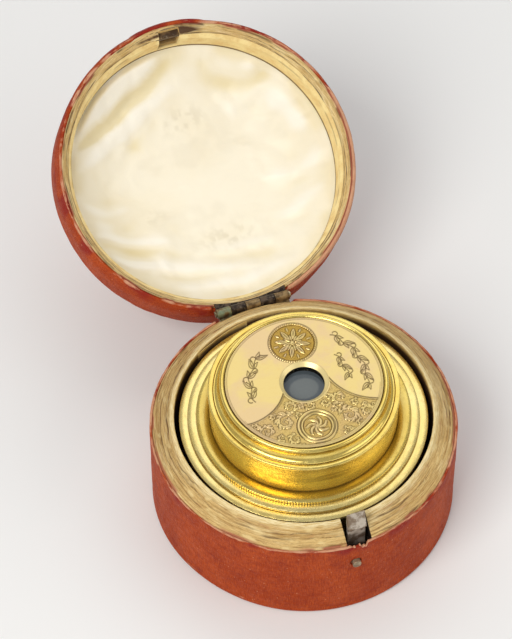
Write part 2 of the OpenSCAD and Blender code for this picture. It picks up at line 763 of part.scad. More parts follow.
// The turned eyepiece: lip, ledge, groove, hollow moulding and bead, with a skirt inside its tube
module eyepiece_head() {
    ledge_in = head_r - ledge_w;
    cove_top_r = bead_c_r + bead_r;
    cove_top_z = bead_c_z - 0.15;
    cove_w = ledge_in - 0.15 - cove_top_r;
    cove_h = cove_top_z - ledge_z;
    seat_in = plate_r - plate_seat_w;
    skirt_r = draw_3_ri - joint_clear;
    cove = [for (i = [0:6]) let (a = 15 * i)
        [cove_top_r + cove_w * (1 - sin(a)), ledge_z + cove_h * (1 - cos(a))]];
    color([0.94, 0.80, 0.42])
    turned(concat(
        [[seat_in, plate_z - head_wall], [plate_r - 0.2, plate_z - head_wall]],
        [[skirt_r - head_wall, head_z - 0.3]],
        [[skirt_r - head_wall, head_z - head_skirt_l], [skirt_r, head_z - head_skirt_l], [skirt_r, head_z]],
        [[head_r, head_z], [head_r, ledge_z - edge_bevel], [head_r - edge_bevel, ledge_z]],
        [[ledge_in + 0.12, ledge_z], [ledge_in, ledge_z - 0.15], [ledge_in - 0.12, ledge_z]],
        cove,
        arc(bead_c_r, bead_c_z, bead_r, -15, 180, 8),
        [[plate_r + joint_clear, plate_z], [seat_in, plate_z]]
    ));
}

module eyepiece_plate() {
    color([0.95, 0.84, 0.50])
    turned([
        [eye_mid_r, plate_z + joint_clear], [plate_r, plate_z + joint_clear],
        [plate_r, plate_z + plate_t - 0.08], [plate_r - 0.08, plate_z + plate_t],
        [eye_bevel_r, plate_z + plate_t]
    ]);
}

// The cell below the plate: its seat carries on the eye hole's cone down to the eye lens
module eye_lens_cell() {
    color([0.80, 0.64, 0.28])
    turned([
        [eye_mid_r, plate_z], [eye_cell_ro, plate_z], [eye_cell_ro, plate_z - eye_cell_h],
        [eye_cell_ri, plate_z - eye_cell_h], [eye_cell_ri, plate_z - eye_seat_t],
        [eye_hole_r, plate_z - eye_seat_t]
    ]);
}

// The hollow eye lens, held against the cell's seat
module eye_lens() {
    high = lens_face(eye_lens_r, eye_lens_z, 0);
    top = [for (p = high) [p[0], p[1] - eye_lens_sag * (1 - pow(p[0] / eye_lens_r, 2))]];
    low = [for (p = high) [p[0], p[1] - eye_lens_t + eye_lens_sag * (1 - pow(p[0] / eye_lens_r, 2))]];
    color([0.66, 0.74, 0.78, 0.5])
    turned(concat(low, [for (i = [len(top) - 1:-1:0]) top[i]]));
}

module eye_lens_retainer() {
    color([0.30, 0.26, 0.18])
    tube(eye_lens_r - eye_retainer_w, eye_lens_r, plate_z - eye_cell_h,
        eye_lens_z - eye_lens_t - joint_clear);
}

case_leather_base();
case_leather_side();
case_floor();
case_wall();
case_liner();
case_floor_pad();
hinge_base_leaf();
hinge_base_rivets();
hinge_pin();
catch_rivet();
catch_spring();
catch_button();
lid_wall();
lid_crown();
lid_leather();
lid_liner();
lid_silk_pad();
lid_keeper();
hinge_lid_leaf();
hinge_lid_rivets();
body_tube();
body_ring();
objective_cell();
objective_lens();
objective_retaining_ring();
draw_1_tube();
draw_1_ring();
draw_1_stop_ring();
draw_2_tube();
draw_2_ring();
draw_2_stop_ring();
eyepiece_tube();
eyepiece_stop_ring();
eyepiece_head();
eyepiece_plate();
eye_lens();
eye_lens_cell();
eye_lens_retainer();
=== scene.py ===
"""Looks for the draw monocular in its case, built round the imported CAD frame.

Sizes in this file are in millimetres until a mesh is made. The case's axis is Z, the catch is at
-Y and the hinge at +Y. Lid pieces are shaped closed, with Z up from the lid's edge, then swung open.
"""

import math

import bpy
import numpy as np
from mathutils import Matrix, Vector


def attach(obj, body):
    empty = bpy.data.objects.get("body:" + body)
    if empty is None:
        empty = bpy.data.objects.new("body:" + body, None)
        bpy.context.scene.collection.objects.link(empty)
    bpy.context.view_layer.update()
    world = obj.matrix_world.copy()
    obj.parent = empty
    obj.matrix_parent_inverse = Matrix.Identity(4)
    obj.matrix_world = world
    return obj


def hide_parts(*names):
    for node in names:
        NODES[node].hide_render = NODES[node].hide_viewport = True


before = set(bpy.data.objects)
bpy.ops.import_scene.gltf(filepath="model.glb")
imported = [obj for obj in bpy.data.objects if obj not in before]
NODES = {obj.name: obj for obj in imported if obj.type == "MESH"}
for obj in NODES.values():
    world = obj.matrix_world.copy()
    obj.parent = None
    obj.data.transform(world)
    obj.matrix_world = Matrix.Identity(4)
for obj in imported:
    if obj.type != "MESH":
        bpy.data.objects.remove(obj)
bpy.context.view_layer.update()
MM = 0.001
TAU = 2 * math.pi

# Main sizes, the same as the CAD source's
CASE_R = 37.5
SKIN_IN = 36.76
BOARD_OUT = 36.72
BOARD_R = 36.7
LINER_OUT = 32.6
CONE_IN = 31.9
LINER_IN = 31.4
RIM_Z = 27.0
LIP_Z = 31.0
WALL_Z = 2.3
CORE_TOP = 24.0
FLOOR_T = 1.0
HINGE_Y = 37.67
HINGE_Z = 27.05
HINGE_HALF = 9.9
LEAF_R = 36.06
LID_Z = 27.1
LID_OPEN = 154.5
LID_BORE = 34.1
LID_BEVEL = 3.8
LID_SWELL = 1.2
LID_SIDE_H = 11.0
SHOULDER_R = 1.6
SILK_D = 9.5
SILK_DISH = 10.6
SILK_T = 1.2
SILK_R = 34.08
LID_TOP = 23.8
DOME_POWER = 3.5
HEAD_Z = 40.2
HEAD_TOP = 44.18
PLATE_Z = 42.86
PLATE_TOP = 44.06
PLATE_R = 19.0
EYE_HOLE_R = 4.9
BEAD_R = 0.64
CATCH_X = 1.0
NOTCH_HALF = 3.1
KEEPER_X = 0.7
KEEPER_HALF = 2.7
BUTTON_Z = 19.7
FRONT = 1.5 * math.pi

LID_MATRIX = (
    Matrix.Translation((0, HINGE_Y, HINGE_Z))
    @ Matrix.Rotation(math.radians(-LID_OPEN), 4, "X")
    @ Matrix.Translation((0, -HINGE_Y, -HINGE_Z))
    @ Matrix.Translation((0, 0, LID_Z))
)


# ---- Numbers ----
class Noise:
    """Smooth lattice noise from -1 to 1 in three dimensions, the same at each run."""

    def __init__(self, seed, size=48):
        self.size = size
        self.table = np.random.RandomState(seed).rand(size, size, size) * 2 - 1

    def __call__(self, x, y, z=0.0):
        x, y, z = np.broadcast_arrays(*(np.asarray(v, float) for v in (x, y, z)))
        cell = [np.floor(v).astype(int) for v in (x, y, z)]
        part = [v - c for v, c in zip((x, y, z), cell)]
        ease = [p * p * p * (p * (p * 6 - 15) + 10) for p in part]
        total = np.zeros(x.shape)
        for i in (0, 1):
            for j in (0, 1):
                for k in (0, 1):
                    weight = 1.0
                    for e, bit in zip(ease, (i, j, k)):
                        weight = weight * (e if bit else 1 - e)
                    at = [(c + bit) % self.size for c, bit in zip(cell, (i, j, k))]
                    total += weight * self.table[at[0], at[1], at[2]]
        return total

    def fbm(self, x, y, z=0.0, octaves=4, gain=0.5):
        total, size, scale = 0.0, 1.0, 1.0
        for _ in range(octaves):
            total = total + size * self(x * scale, y * scale, np.asarray(z) * scale)
            size *= gain
            scale *= 2.03
        return total


def ease_in(x, low, high):
    """A smooth rise from 0 where x is low to 1 where it is high."""
    t = np.clip((np.asarray(x, float) - low) / (high - low), 0, 1)
    return t * t * (3 - 2 * t)


def hump(x, centre, width):
    """A smooth bump of height 1 round a centre."""
    return np.exp(-(((np.asarray(x, float) - centre) / width) ** 2))


def blurred(field, steps):
    """The field averaged with its neighbours, steps cells to each side, three times."""
    n = 2 * steps + 1
    for _ in range(3):
        for axis in (0, 1):
            pads = [(steps + 1, steps) if a == axis else (0, 0) for a in (0, 1)]
            total = np.moveaxis(np.cumsum(np.pad(field, pads, "edge"), axis), axis, 0)
            field = np.moveaxis((total[n:] - total[:-n]) / n, 0, axis)
    return field


def lengths(p):
    """How far each point of a path lies from its start, along the path."""
    return np.concatenate([[0], np.cumsum(np.hypot(*np.diff(p, axis=0).T))])


def polar(r, theta, *z):
    """Points from a radius and an angle round the axis, with a height if one is given."""
    return np.stack(np.broadcast_arrays(r * np.cos(theta), r * np.sin(theta), *z), -1)


# ---- Meshes ----
def make_mesh(name, co, faces, body, attributes=None, closed_lid=False, sharp=None):
    """A mesh object from vertices in mm and lists of faces, riding on a body of the frame."""
    co = np.asarray(co, float).reshape(-1, 3)
    if closed_lid:
        m = np.array(LID_MATRIX)
        co = co @ m[:3, :3].T + m[:3, 3]
    groups = [np.asarray(f, np.int32) for f in faces if len(f)]
    starts, at = [], 0
    for g in groups:
        starts.append(at + np.arange(len(g)) * g.shape[1])
        at += g.size
    me = bpy.data.meshes.new(name)
    me.vertices.add(len(co))
    me.vertices.foreach_set("co", (co * MM).astype(np.float32).ravel())
    me.loops.add(at)
    me.loops.foreach_set("vertex_index", np.concatenate([g.ravel() for g in groups]))
    me.polygons.add(sum(len(g) for g in groups))
    me.polygons.foreach_set("loop_start", np.concatenate(starts).astype(np.int32))
    me.update(calc_edges=True)
    me.validate()
    for key, values in (attributes or {}).items():
        values = np.asarray(values, np.float32)
        if values.size == 3 * len(co):
            me.attributes.new(key, "FLOAT_VECTOR", "POINT").data.foreach_set("vector", values.ravel())
        else:
            me.attributes.new(key, "FLOAT", "POINT").data.foreach_set("value", values.ravel())
    tris = np.concatenate([g[:, [0, i, i + 1]] for g in groups for i in range(1, g.shape[1] - 1)])
    a, b, c = (co[tris[:, i]] for i in range(3))
    if np.einsum("ij,ij->i", a, np.cross(b, c)).sum() < 0:
        me.flip_normals()
    me.polygons.foreach_set("use_smooth", np.ones(len(me.polygons), bool))
    if sharp:
        me.set_sharp_from_angle(angle=math.radians(sharp))
    ob = bpy.data.objects.new(name, me)
    bpy.context.scene.collection.objects.link(ob)
    if body:
        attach(ob, body)
    return ob


def grid_faces(rows, cols, wrap_rows=False, wrap_cols=True):
    i = np.arange(rows if wrap_rows else rows - 1)
    j = np.arange(cols if wrap_cols else cols - 1)
    i, j = np.meshgrid(i, j, indexing="ij")
    i2, j2 = (i + 1) % rows, (j + 1) % cols
    return np.stack([i * cols + j, i2 * cols + j, i2 * cols + j2, i * cols + j2], -1).reshape(-1, 4)


def sheet_faces(rows, cols):
    """Faces of a sheet that has a front and a rear grid of points, and the front's outer points."""
    i, j = np.arange(rows), np.arange(cols)
    edge = np.concatenate(
        [i * cols, (rows - 1) * cols + j[1:], i[::-1][1:] * cols + cols - 1, j[::-1][1:-1]]
    )
    behind = rows * cols
    after = np.roll(edge, -1)
    quads = grid_faces(rows, cols, wrap_cols=False)
    rim = np.stack([edge, after, after + behind, edge + behind], -1)
    return np.concatenate([quads, quads[:, ::-1] + behind, rim]), edge


def fan(ring, pole, flip=False):
    tri = np.stack([ring, np.roll(ring, -1), np.full(len(ring), pole)], -1)
    return tri[:, ::-1] if flip else tri


def turned(
    name,
    profile,
    body,
    n=256,
    shape=None,
    attributes=None,
    closed_lid=False,
    sharp=35,
    angles=None,
    skin_radius=None,
):
    """A lathed closed form. profile is a list of (r, z); a first or last r of 0 is a pole.

    shape(theta, r, z, s) returns moved r and z, where s is the length along the profile, and each
    attribute is a function of theta, r and z. With skin_radius the material's place shrinks
    towards the poles, so that no grain runs into them.
    """
    p = np.asarray(profile, float)
    s = lengths(p)
    first, last = p[0, 0] < 1e-6, p[-1, 0] < 1e-6
    between = slice(1 if first else 0, -1 if last else None)
    theta = np.arange(n) * TAU / n if angles is None else angles
    n = len(theta)
    th, ss = np.meshgrid(theta, s[between])
    r, z = (np.repeat(p[between, k : k + 1], n, 1) for k in (0, 1))
    if shape:
        r, z = shape(th, r, z, ss)
    co = polar(r, th, z).reshape(-1, 3)
    made = {"lay": polar(r / skin_radius if skin_radius else 1.0, th, ss).reshape(-1, 3)}
    for key, value_at in (attributes or {}).items():
        made[key] = np.broadcast_to(value_at(th, r, z), th.shape).reshape(-1)
    faces = [grid_faces(len(ss), n, wrap_rows=not (first or last))]
    for pole, end, ring in ((first, 0, np.arange(n)), (last, -1, len(co) - n + np.arange(n))):
        if pole:
            faces.append(fan(ring, len(co), flip=end == -1))
            co = np.vstack([co, (0, 0, p[end, 1])])
            made = {key: np.concatenate([v, np.zeros_like(v[:1])]) for key, v in made.items()}
            made["lay"][-1, 2] = s[end]
    return make_mesh(name, co, faces, body, made, closed_lid, sharp)


def subdivided(profile, step):
    """The profile with points added so that none are further apart than step."""
    out = [tuple(profile[0])]
    for (r0, z0), (r1, z1) in zip(profile, profile[1:]):
        k = max(1, int(math.ceil(math.hypot(r1 - r0, z1 - z0) / step)))
        out += [(r0 + (r1 - r0) * i / k, z0 + (z1 - z0) * i / k) for i in range(1, k + 1)]
    return out


def arc_points(cx, cy, r, a0, a1, n):
    angles = [math.radians(a0 + (a1 - a0) * i / n) for i in range(n + 1)]
    return [(cx + r * math.cos(a), cy + r * math.sin(a)) for a in angles]


def front_dense_angles(n, share=0.35, spread=0.22):
    """Angles round the axis, closer together near the catch at -Y."""
    t = np.linspace(0, TAU, 20001)
    weight = 1 + share / (1 - share) * TAU / (spread * math.sqrt(math.pi)) * hump(t, 1.5 * math.pi, spread)
    total = np.concatenate([[0], np.cumsum((weight[1:] + weight[:-1]) / 2 * np.diff(t))])
    return np.interp(np.arange(n) / n * total[-1], total, t)


def cut(ob, cutter):
    """Cuts one closed mesh out of another, and removes it."""
    mod = ob.modifiers.new("cut", "BOOLEAN")
    mod.operation = "DIFFERENCE"
    mod.solver = "MANIFOLD"
    mod.object = cutter
    bpy.context.view_layer.objects.active = ob
    with bpy.context.temp_override(object=ob, active_object=ob, selected_objects=[ob]):
        bpy.ops.object.modifier_apply(modifier=mod.name)
    bpy.data.objects.remove(cutter)


def cut_slot(ob, centre, half, y_range, z_range, closed_lid=False):
    """Cuts an upright box out of a piece, half its width to each side of the centre in X."""
    corners = [(x, y, z) for x in (centre - half, centre + half) for y in y_range for z in z_range]
    quads = [[0, 1, 3, 2], [4, 6, 7, 5], [0, 4, 5, 1], [2, 3, 7, 6], [0, 2, 6, 4], [1, 5, 7, 3]]
    # dark: painted shade meant for the walls that the cut leaves
    tones = {"dark": np.full(8, 0.92), "lay": [(x / 35, y / 35, z) for x, y, z in corners]}
    cut(ob, make_mesh("cutter", corners, [quads], None, tones, closed_lid))


def cut_leaf_room(ob, z0, z1, closed_lid=False):
    """Cuts the room that a hinge leaf's web takes outside the leaf's inner face."""
    a = np.radians(np.linspace(74.9, 105.1, 25))
    ring = [(LEAF_R * math.cos(t), LEAF_R * math.sin(t)) for t in a] + [(-9.7, 40.0), (9.7, 40.0)]
    n = len(ring)
    co = [(x, y, z) for z in (z0, z1) for x, y in ring]
    i = np.arange(n)
    sides = np.stack([i, (i + 1) % n, n + (i + 1) % n, n + i], -1)
    caps = [[0, k + 1, k] for k in range(1, n - 1)] + [[n, n + k, n + k + 1] for k in range(1, n - 1)]
    cut(ob, make_mesh("cutter", co, [sides, np.array(caps)], None, closed_lid=closed_lid))


# ---- Materials ----


class Shader:
    """A short way to write node materials. Values may be numbers, tuples or sockets."""

    def __init__(self, name):
        self.material = bpy.data.materials.new(name)
        self.material.use_nodes = True
        self.tree = self.material.node_tree
        self.tree.nodes.clear()
        self.out = self.tree.nodes.new("ShaderNodeOutputMaterial")
        self.bsdf = self.tree.nodes.new("ShaderNodeBsdfPrincipled")
        self.tree.links.new(self.bsdf.outputs[0], self.out.inputs[0])

    def set(self, socket, value):
        if isinstance(value, bpy.types.NodeSocket):
            self.tree.links.new(value, socket)
        elif isinstance(value, (tuple, list)) and len(value) == 3 and socket.type == "RGBA":
            socket.default_value = (*value, 1)
        else:
            socket.default_value = value

    def node(self, kind, inputs=(), out=0, **props):
        n = self.tree.nodes.new("ShaderNode" + kind)
        for key, value in props.items():
            setattr(n, key, value)
        for key, value in dict(inputs).items():
            self.set(n.inputs[key], value)
        return n.outputs[out]

    def attr(self, name):
        return self.node("Attribute", attribute_name=name, out="Fac")

    def vector(self, name):
        return self.node("Attribute", attribute_name=name, out="Vector")

    def place(self):
        """The place on the object, in mm."""
        return self.scale(self.node("TexCoord", out="Object"), (1000.0, 1000.0, 1000.0))

    def axis(self, vector, name):
        return self.node("SeparateXYZ", {0: vector}, out=name)

    def notch(self):
        """1 on the side walls of the catch's notch, 0 elsewhere. The board is painted near black there as
        shade in the gap.
        """
        place = self.place()
        off = self.math("ABSOLUTE", self.math("SUBTRACT", self.axis(place, "X"), CATCH_X))
        side = self.range(off, NOTCH_HALF + 0.04, NOTCH_HALF + 0.01)
        return self.times(side, self.range(self.axis(place, "Y"), -30.0, -30.5))

    def scale(self, vector, factors):
        return self.node("VectorMath", {0: vector, 1: factors}, operation="MULTIPLY")

    def noise(self, vector, scale, detail=3.0, rough=0.55, distortion=0.0):
        inputs = {"Vector": vector, "Scale": scale, "Detail": detail, "Roughness": rough}
        return self.node("TexNoise", {**inputs, "Distortion": distortion}, out="Fac")

    def spots(self, vector, scale):
        return self.node("TexVoronoi", {"Vector": vector, "Scale": scale}, out="Distance")

    def math(self, op, a, b=0.0, clamp=False):
        return self.node("Math", {0: a, 1: b}, operation=op, use_clamp=clamp)

    def add(self, a, b):
        return self.math("ADD", a, b)

    def times(self, a, b):
        return self.math("MULTIPLY", a, b)

    def range(self, value, low, high, to_low=0.0, to_high=1.0):
        inputs = {"Value": value, "From Min": low, "From Max": high, "To Min": to_low, "To Max": to_high}
        return self.node("MapRange", inputs, interpolation_type="SMOOTHSTEP")

    def mix(self, factor, a, b):
        n = self.tree.nodes.new("ShaderNodeMix")
        n.data_type = "RGBA"
        n.clamp_factor = True
        for key, value in ((0, factor), (6, a), (7, b)):
            self.set(n.inputs[key], value)
        return n.outputs[2]

    def layers(self, base, *rows):
        """A base tone with others laid over it in turn, as 0 to 255 values or sockets.

        A row has a mask and a tone. Between them may stand the mask's values at which the tone
        begins and is full, and how much of it shows then."""
        tone = rgb(*base)
        for mask, *limits, over in rows:
            if limits:
                mask = self.range(mask, *limits[:2], 0.0, *limits[2:])
            tone = self.mix(mask, tone, rgb(*over) if isinstance(over, tuple) else over)
        return tone

    def bump(self, height, strength, distance, normal=None):
        inputs = {"Height": height, "Strength": strength, "Distance": distance}
        if normal is not None:
            inputs["Normal"] = normal
        return self.node("Bump", inputs)

    def done(self, **inputs):
        for key, value in inputs.items():
            self.set(self.bsdf.inputs[key.replace("_", " ")], value)
        return self.material


def rgb(r, g, b):
    """Linear colour from the usual 0 to 255 values."""
    return tuple(((v / 255 + 0.055) / 1.055) ** 2.4 if v > 10 else v / 255 / 12.92 for v in (r, g, b))


def leather_material():
    m = Shader("WornRedLeather")
    place = m.scale(m.vector("lay"), (CASE_R, CASE_R, 1.0))
    along = m.noise(m.scale(place, (1.0, 1.0, 5.0)), 0.55, 5.0, 0.62)
    upright = m.noise(m.scale(place, (5.5, 5.5, 0.7)), 0.8, 4.0, 0.62)
    flecks = m.range(m.spots(m.scale(place, (1, 1, 0.8)), 0.8), 0.16, 0.06)
    fleck_mask = m.math("MULTIPLY", flecks, m.range(m.noise(place, 0.5, 2.0), 0.5, 0.6), True)
    rag = m.noise(m.scale(place, (0.16, 0.16, 0.8)), 1.0, 6.0, 0.72)
    ragged = m.add(m.attr("wear"), m.times(m.math("SUBTRACT", rag, 0.5), 1.6))
    frayed = m.noise(m.scale(place, (0.5, 0.5, 2.0)), 1.2, 4.0)
    tone = m.layers(
        (168, 62, 20),
        (m.noise(place, 0.09, 4.0, 0.6), 0.35, 0.68, (188, 78, 30)),
        (along, 0.45, 0.72, 0.45, (138, 44, 16)),
        (upright, 0.5, 0.62, 0.45, (132, 40, 16)),
        (upright, 0.46, 0.34, 0.4, (204, 100, 48)),
        (m.noise(m.scale(place, (1, 1, 2.4)), 0.2, 4.0, 0.6), 0.52, 0.76, 0.65, (134, 36, 18)),
        (m.attr("crimson"), (142, 30, 28)),
        (m.times(fleck_mask, 0.7), (226, 160, 120)),
        (ragged, 0.44, 0.78, m.layers((196, 120, 88), (frayed, (228, 184, 146)))),
    )
    grain = m.spots(m.scale(place, (1, 1, 1.7)), 3.2)
    weave = m.add(m.times(along, 0.6), m.times(upright, 0.9))
    normal = m.bump(m.add(m.times(grain, 0.4), weave), 0.7, 0.00025)
    normal = m.bump(m.noise(place, 9.0, 3.0, 0.6), 0.2, 0.00008, normal)
    rough = m.range(m.noise(place, 0.8, 3.0), 0.3, 0.7, 0.5, 0.68)
    return m.done(Base_Color=tone, Roughness=rough, Normal=normal, Specular_IOR_Level=0.13)


def board_material():
    m = Shader("WornGiltBoard")
    lay = m.vector("lay")
    fine = m.noise(m.scale(lay, (14.0, 14.0, 7.0)), 1.0, 5.0, 0.65)
    lines = m.noise(m.scale(lay, (3.4, 3.4, 6.5)), 1.0, 6.0, 0.66, 0.7)
    bands = m.noise(m.scale(lay, (1.3, 1.3, 2.0)), 1.0, 3.0, 0.6)
    dash = m.noise(m.scale(lay, (26.0, 26.0, 9.0)), 1.0, 4.0, 0.66)
    patches = m.noise(m.scale(lay, (7.0, 7.0, 0.6)), 1.0, 3.0, 0.55)
    tone = m.layers(
        (186, 146, 82),
        (bands, 0.38, 0.62, (216, 180, 114)),
        (fine, 0.45, 0.66, 0.75, (236, 206, 142)),
        (lines, 0.52, 0.64, 0.62, (138, 94, 46)),
        (lines, 0.45, 0.34, 0.6, (238, 210, 148)),
        (dash, 0.55, 0.65, 0.55, (112, 72, 36)),
        (patches, 0.58, 0.7, 0.35, (176, 106, 70)),
        (patches, 0.42, 0.32, 0.5, (244, 220, 158)),
        (m.attr("pale"), m.layers((222, 192, 126), (fine, 0.4, 0.6, (250, 234, 186)))),
        # dark: cracks and torn places in the board, and painted shade in the gap inside the liner, under
        # the lid's flap, round the rim's back-left and right, and on the walls of the cuts
        (m.attr("dark"), (70, 38, 20)),
        (m.attr("red"), m.layers((140, 50, 38), (dash, (186, 104, 78)))),
        # painted shade: the notch's side walls near black
        (m.notch(), (34, 22, 14)),
    )
    normal = m.bump(m.add(lines, m.times(dash, 0.5)), 0.5, 0.00016)
    rough = m.range(fine, 0.3, 0.7, 0.5, 0.78)
    return m.done(Base_Color=tone, Roughness=rough, Normal=normal, Specular_IOR_Level=0.3)


def paper_material():
    m = Shader("CreamLiningPaper")
    place = m.scale(m.vector("lay"), (34.0, 34.0, 1.0))
    fibre = m.noise(m.scale(place, (1, 1, 3)), 1.6, 4.0, 0.65)
    tone = m.layers(
        (252, 230, 166),
        (m.noise(place, 0.25, 4.0, 0.6), 0.35, 0.7, (236, 204, 136)),
        (fibre, 0.5, 0.75, 0.4, (214, 174, 104)),
        # dark: painted shade at the lid liner's foot by the silk and on the peeled strip's lower part, and
        # marks along the liner's edge
        (m.attr("dark"), (86, 50, 26)),
    )
    normal = m.bump(fibre, 0.3, 0.0001)
    return m.done(Base_Color=tone, Roughness=0.62, Normal=normal, Specular_IOR_Level=0.35)


def silk_material():
    m = Shader("CreamSilk")
    place = m.vector("flat")
    thread = {"Vector": place, "Scale": 4.4, "Distortion": 0.6, "Detail": 1.0}
    warp = m.node("TexWave", thread, out="Fac")
    weave = m.add(warp, m.node("TexWave", thread, out="Fac", bands_direction="Y"))
    tone = m.layers(
        (250, 244, 226),
        (m.noise(place, 0.05, 3.0, 0.5, 0.4), 0.4, 0.72, 0.5, (244, 234, 208)),
        (m.attr("stain"), (200, 190, 164)),
        # painted shade in the folds' hollows, near the rim and in a patch at the left
        (m.attr("silk_shade"), (230, 213, 158)),
        # painted highlights on the folds' ridges
        (m.attr("ridge"), (255, 252, 242)),
        (weave, 0.2, 1.6, 0.08, (214, 202, 172)),
    )
    normal = m.bump(weave, 0.08, 0.00004)
    sheen = {"Sheen_Weight": 0.15, "Sheen_Roughness": 0.4, "Sheen_Tint": (1, 0.97, 0.9)}
    return m.done(Base_Color=tone, Roughness=0.42, Normal=normal, Specular_IOR_Level=0.45, **sheen)


def gilt_material(name, light, deep, rough=0.3, lines=0.3, freckle=0.3, metallic=1.0):
    """Turned and lacquered gilt brass: fine rings from the lathe, clouds of tone, small marks."""
    m = Shader(name)
    lay = m.vector("lay")
    place = m.scale(lay, (24.0, 24.0, 1.0))
    rings = m.noise(m.scale(lay, (0.5, 0.5, 6.0)), 1.0, 3.0, 0.5)
    rings_fine = m.noise(m.scale(lay, (1.0, 1.0, 26.0)), 1.0, 2.0, 0.5)
    marks = m.noise(m.scale(place, (1, 1, 2)), 0.7, 5.0, 0.66)
    tone = m.layers(
        light,
        (m.noise(place, 0.08, 4.0, 0.6), 0.35, 0.68, deep),
        (rings, 0.5, 0.72, lines, (214, 168, 80)),
        (marks, 0.6, 0.78, freckle, (170, 118, 52)),
        # dark: painted shade in corners, grooves and gaps between the turned parts, and darker, browner
        # painted reflections on the rings' sides and the tube's front, with some tarnish
        (m.attr("dark"), (92, 50, 14)),
    )
    normal = m.bump(m.add(rings, m.times(rings_fine, 0.25)), 0.045, 0.00004)
    normal = m.bump(m.noise(place, 0.2, 2.0), 0.05, 0.0003, normal)
    roughness = m.range(marks, 0.4, 0.8, rough - 0.05, rough + 0.18)
    return m.done(Base_Color=tone, Metallic=metallic, Roughness=roughness, Normal=normal)


def plate_material():
    m = Shader("EngravedGiltPlate")
    place = m.place()
    small = m.noise(place, 0.8, 5.0, 0.65)
    scratch = m.noise(m.scale(place, (0.3, 4.0, 1)), 1.6, 4.0, 0.6, 0.6)
    tone = m.layers(
        (227, 203, 134),
        (m.noise(place, 0.09, 4.0, 0.6, 0.5), 0.42, 0.62, (222, 194, 144)),
        (small, 0.55, 0.8, 0.3, (224, 184, 104)),
        (scratch, 0.6, 0.72, 0.25, (212, 170, 96)),
        (m.attr("matted"), m.layers((180, 140, 52), (small, (214, 178, 84)))),
        # cut: dirt in the engraved lines and valleys, and painted shade on the plate's edge where it sits
        # in the head
        (m.attr("cut"), (78, 46, 16)),
        # hole: the countersink is paler and, below, far less metallic, a painted bright reflection
        (m.attr("hole"), (244, 222, 156)),
        (m.attr("bore"), (24, 15, 8)),
    )
    # the countersink's low metallic value is part of its painted bright reflection
    metal = m.range(m.attr("hole"), 0.0, 1.0, 0.95, 0.3)
    metal = m.times(metal, m.range(m.attr("bore"), 0.0, 1.0, 1.0, 0.0))
    rough = m.range(m.attr("matted"), 0.0, 1.0, 0.3, 0.5)
    return m.done(Base_Color=tone, Metallic=metal, Roughness=rough, Normal=m.bump(small, 0.05, 0.00008))


def tarnished_material(name, light, deep, green=0.0, rough=0.42, metallic=0.85, relief=0.3):
    """Old bronze or steel, clouded and pitted. With green there is verdigris at the left end and
    a bright right end, as on the hinge's barrel."""
    m = Shader(name)
    place = m.place()
    cloud = m.noise(place, 0.5, 4.0, 0.6)
    fine = m.noise(place, 1.8, 3.0, 0.6)
    rows = [
        (cloud, 0.4, 0.62, light),
        (fine, 0.55, 0.75, 0.4, m.layers(light, (0.5, (236, 222, 190)))),
    ]
    if green:
        side = m.axis(place, "X")
        patch = m.times(m.range(cloud, 0.42, 0.6), m.range(side, -4.5, -6.5))
        verdigris = m.layers((84, 118, 100), (fine, (150, 170, 140)))
        rows += [(m.times(patch, green), verdigris), (side, 9.3, 9.6, 0.8, (206, 190, 156))]
    tone = m.layers(deep, *rows, (m.spots(place, 2.2), 0.1, 0.03, 0.2, (60, 46, 32)))
    normal = m.bump(m.add(cloud, m.times(fine, 0.4)), relief, 0.0001)
    roughness = m.range(cloud, 0.3, 0.7, rough - 0.1, rough + 0.2)
    return m.done(Base_Color=tone, Metallic=metallic, Roughness=roughness, Normal=normal)


def felt_material():
    m = Shader("FloorCloth")
    fibre = m.noise(m.place(), 3.0, 5.0, 0.7)
    tone = m.layers((74, 22, 20), (fibre, 0.4, 0.65, (112, 38, 32)))
    normal = m.bump(fibre, 0.6, 0.0002)
    return m.done(Base_Color=tone, Roughness=0.9, Normal=normal, Sheen_Weight=0.3, Sheen_Roughness=0.5)


def glass_material():
    """Old glass with haze on it, darker in a ring where the cell shows through."""
    m = Shader("HazyOpticalGlass")
    place = m.place()
    away = m.node("VectorMath", {0: m.scale(place, (1.0, 1.2, 0.0))}, out="Value", operation="LENGTH")
    tone = m.layers(
        (112, 118, 118),
        (away, 3.2, 3.9, (84, 92, 97)),
        (m.noise(place, 1.6, 5.0, 0.7), 0.58, 0.8, 0.5, (134, 140, 138)),
    )
    glass = {"Transmission_Weight": 0.12, "IOR": 1.5, "Specular_IOR_Level": 0.35}
    return m.done(Base_Color=tone, Roughness=0.12, **glass)


def floor_material():
    tone = (0.86, 0.86, 0.85)
    return Shader("PaleFloor").done(Base_Color=tone, Roughness=0.85, Specular_IOR_Level=0.1)


LEATHER = leather_material()
BOARD = board_material()
PAPER = paper_material()
SILK = silk_material()
# light, deep, roughness, lathe lines, freckles, metallic
GILT = gilt_material("GiltBrass", (246, 222, 130), (238, 206, 104), 0.22, 0.22, 0.25, 0.92)
GILT_PALE = gilt_material("GiltBrassPale", (254, 234, 160), (250, 224, 138), 0.26, 0.2, 0.18, 0.9)
GILT_DEEP = gilt_material("GiltBrassDeep", (246, 216, 98), (232, 196, 78), 0.26, 0.4, 0.4, 0.72)
INNER_BRASS = gilt_material("PlainBrass", (206, 168, 92), (176, 132, 60), 0.34)
PLATE = plate_material()
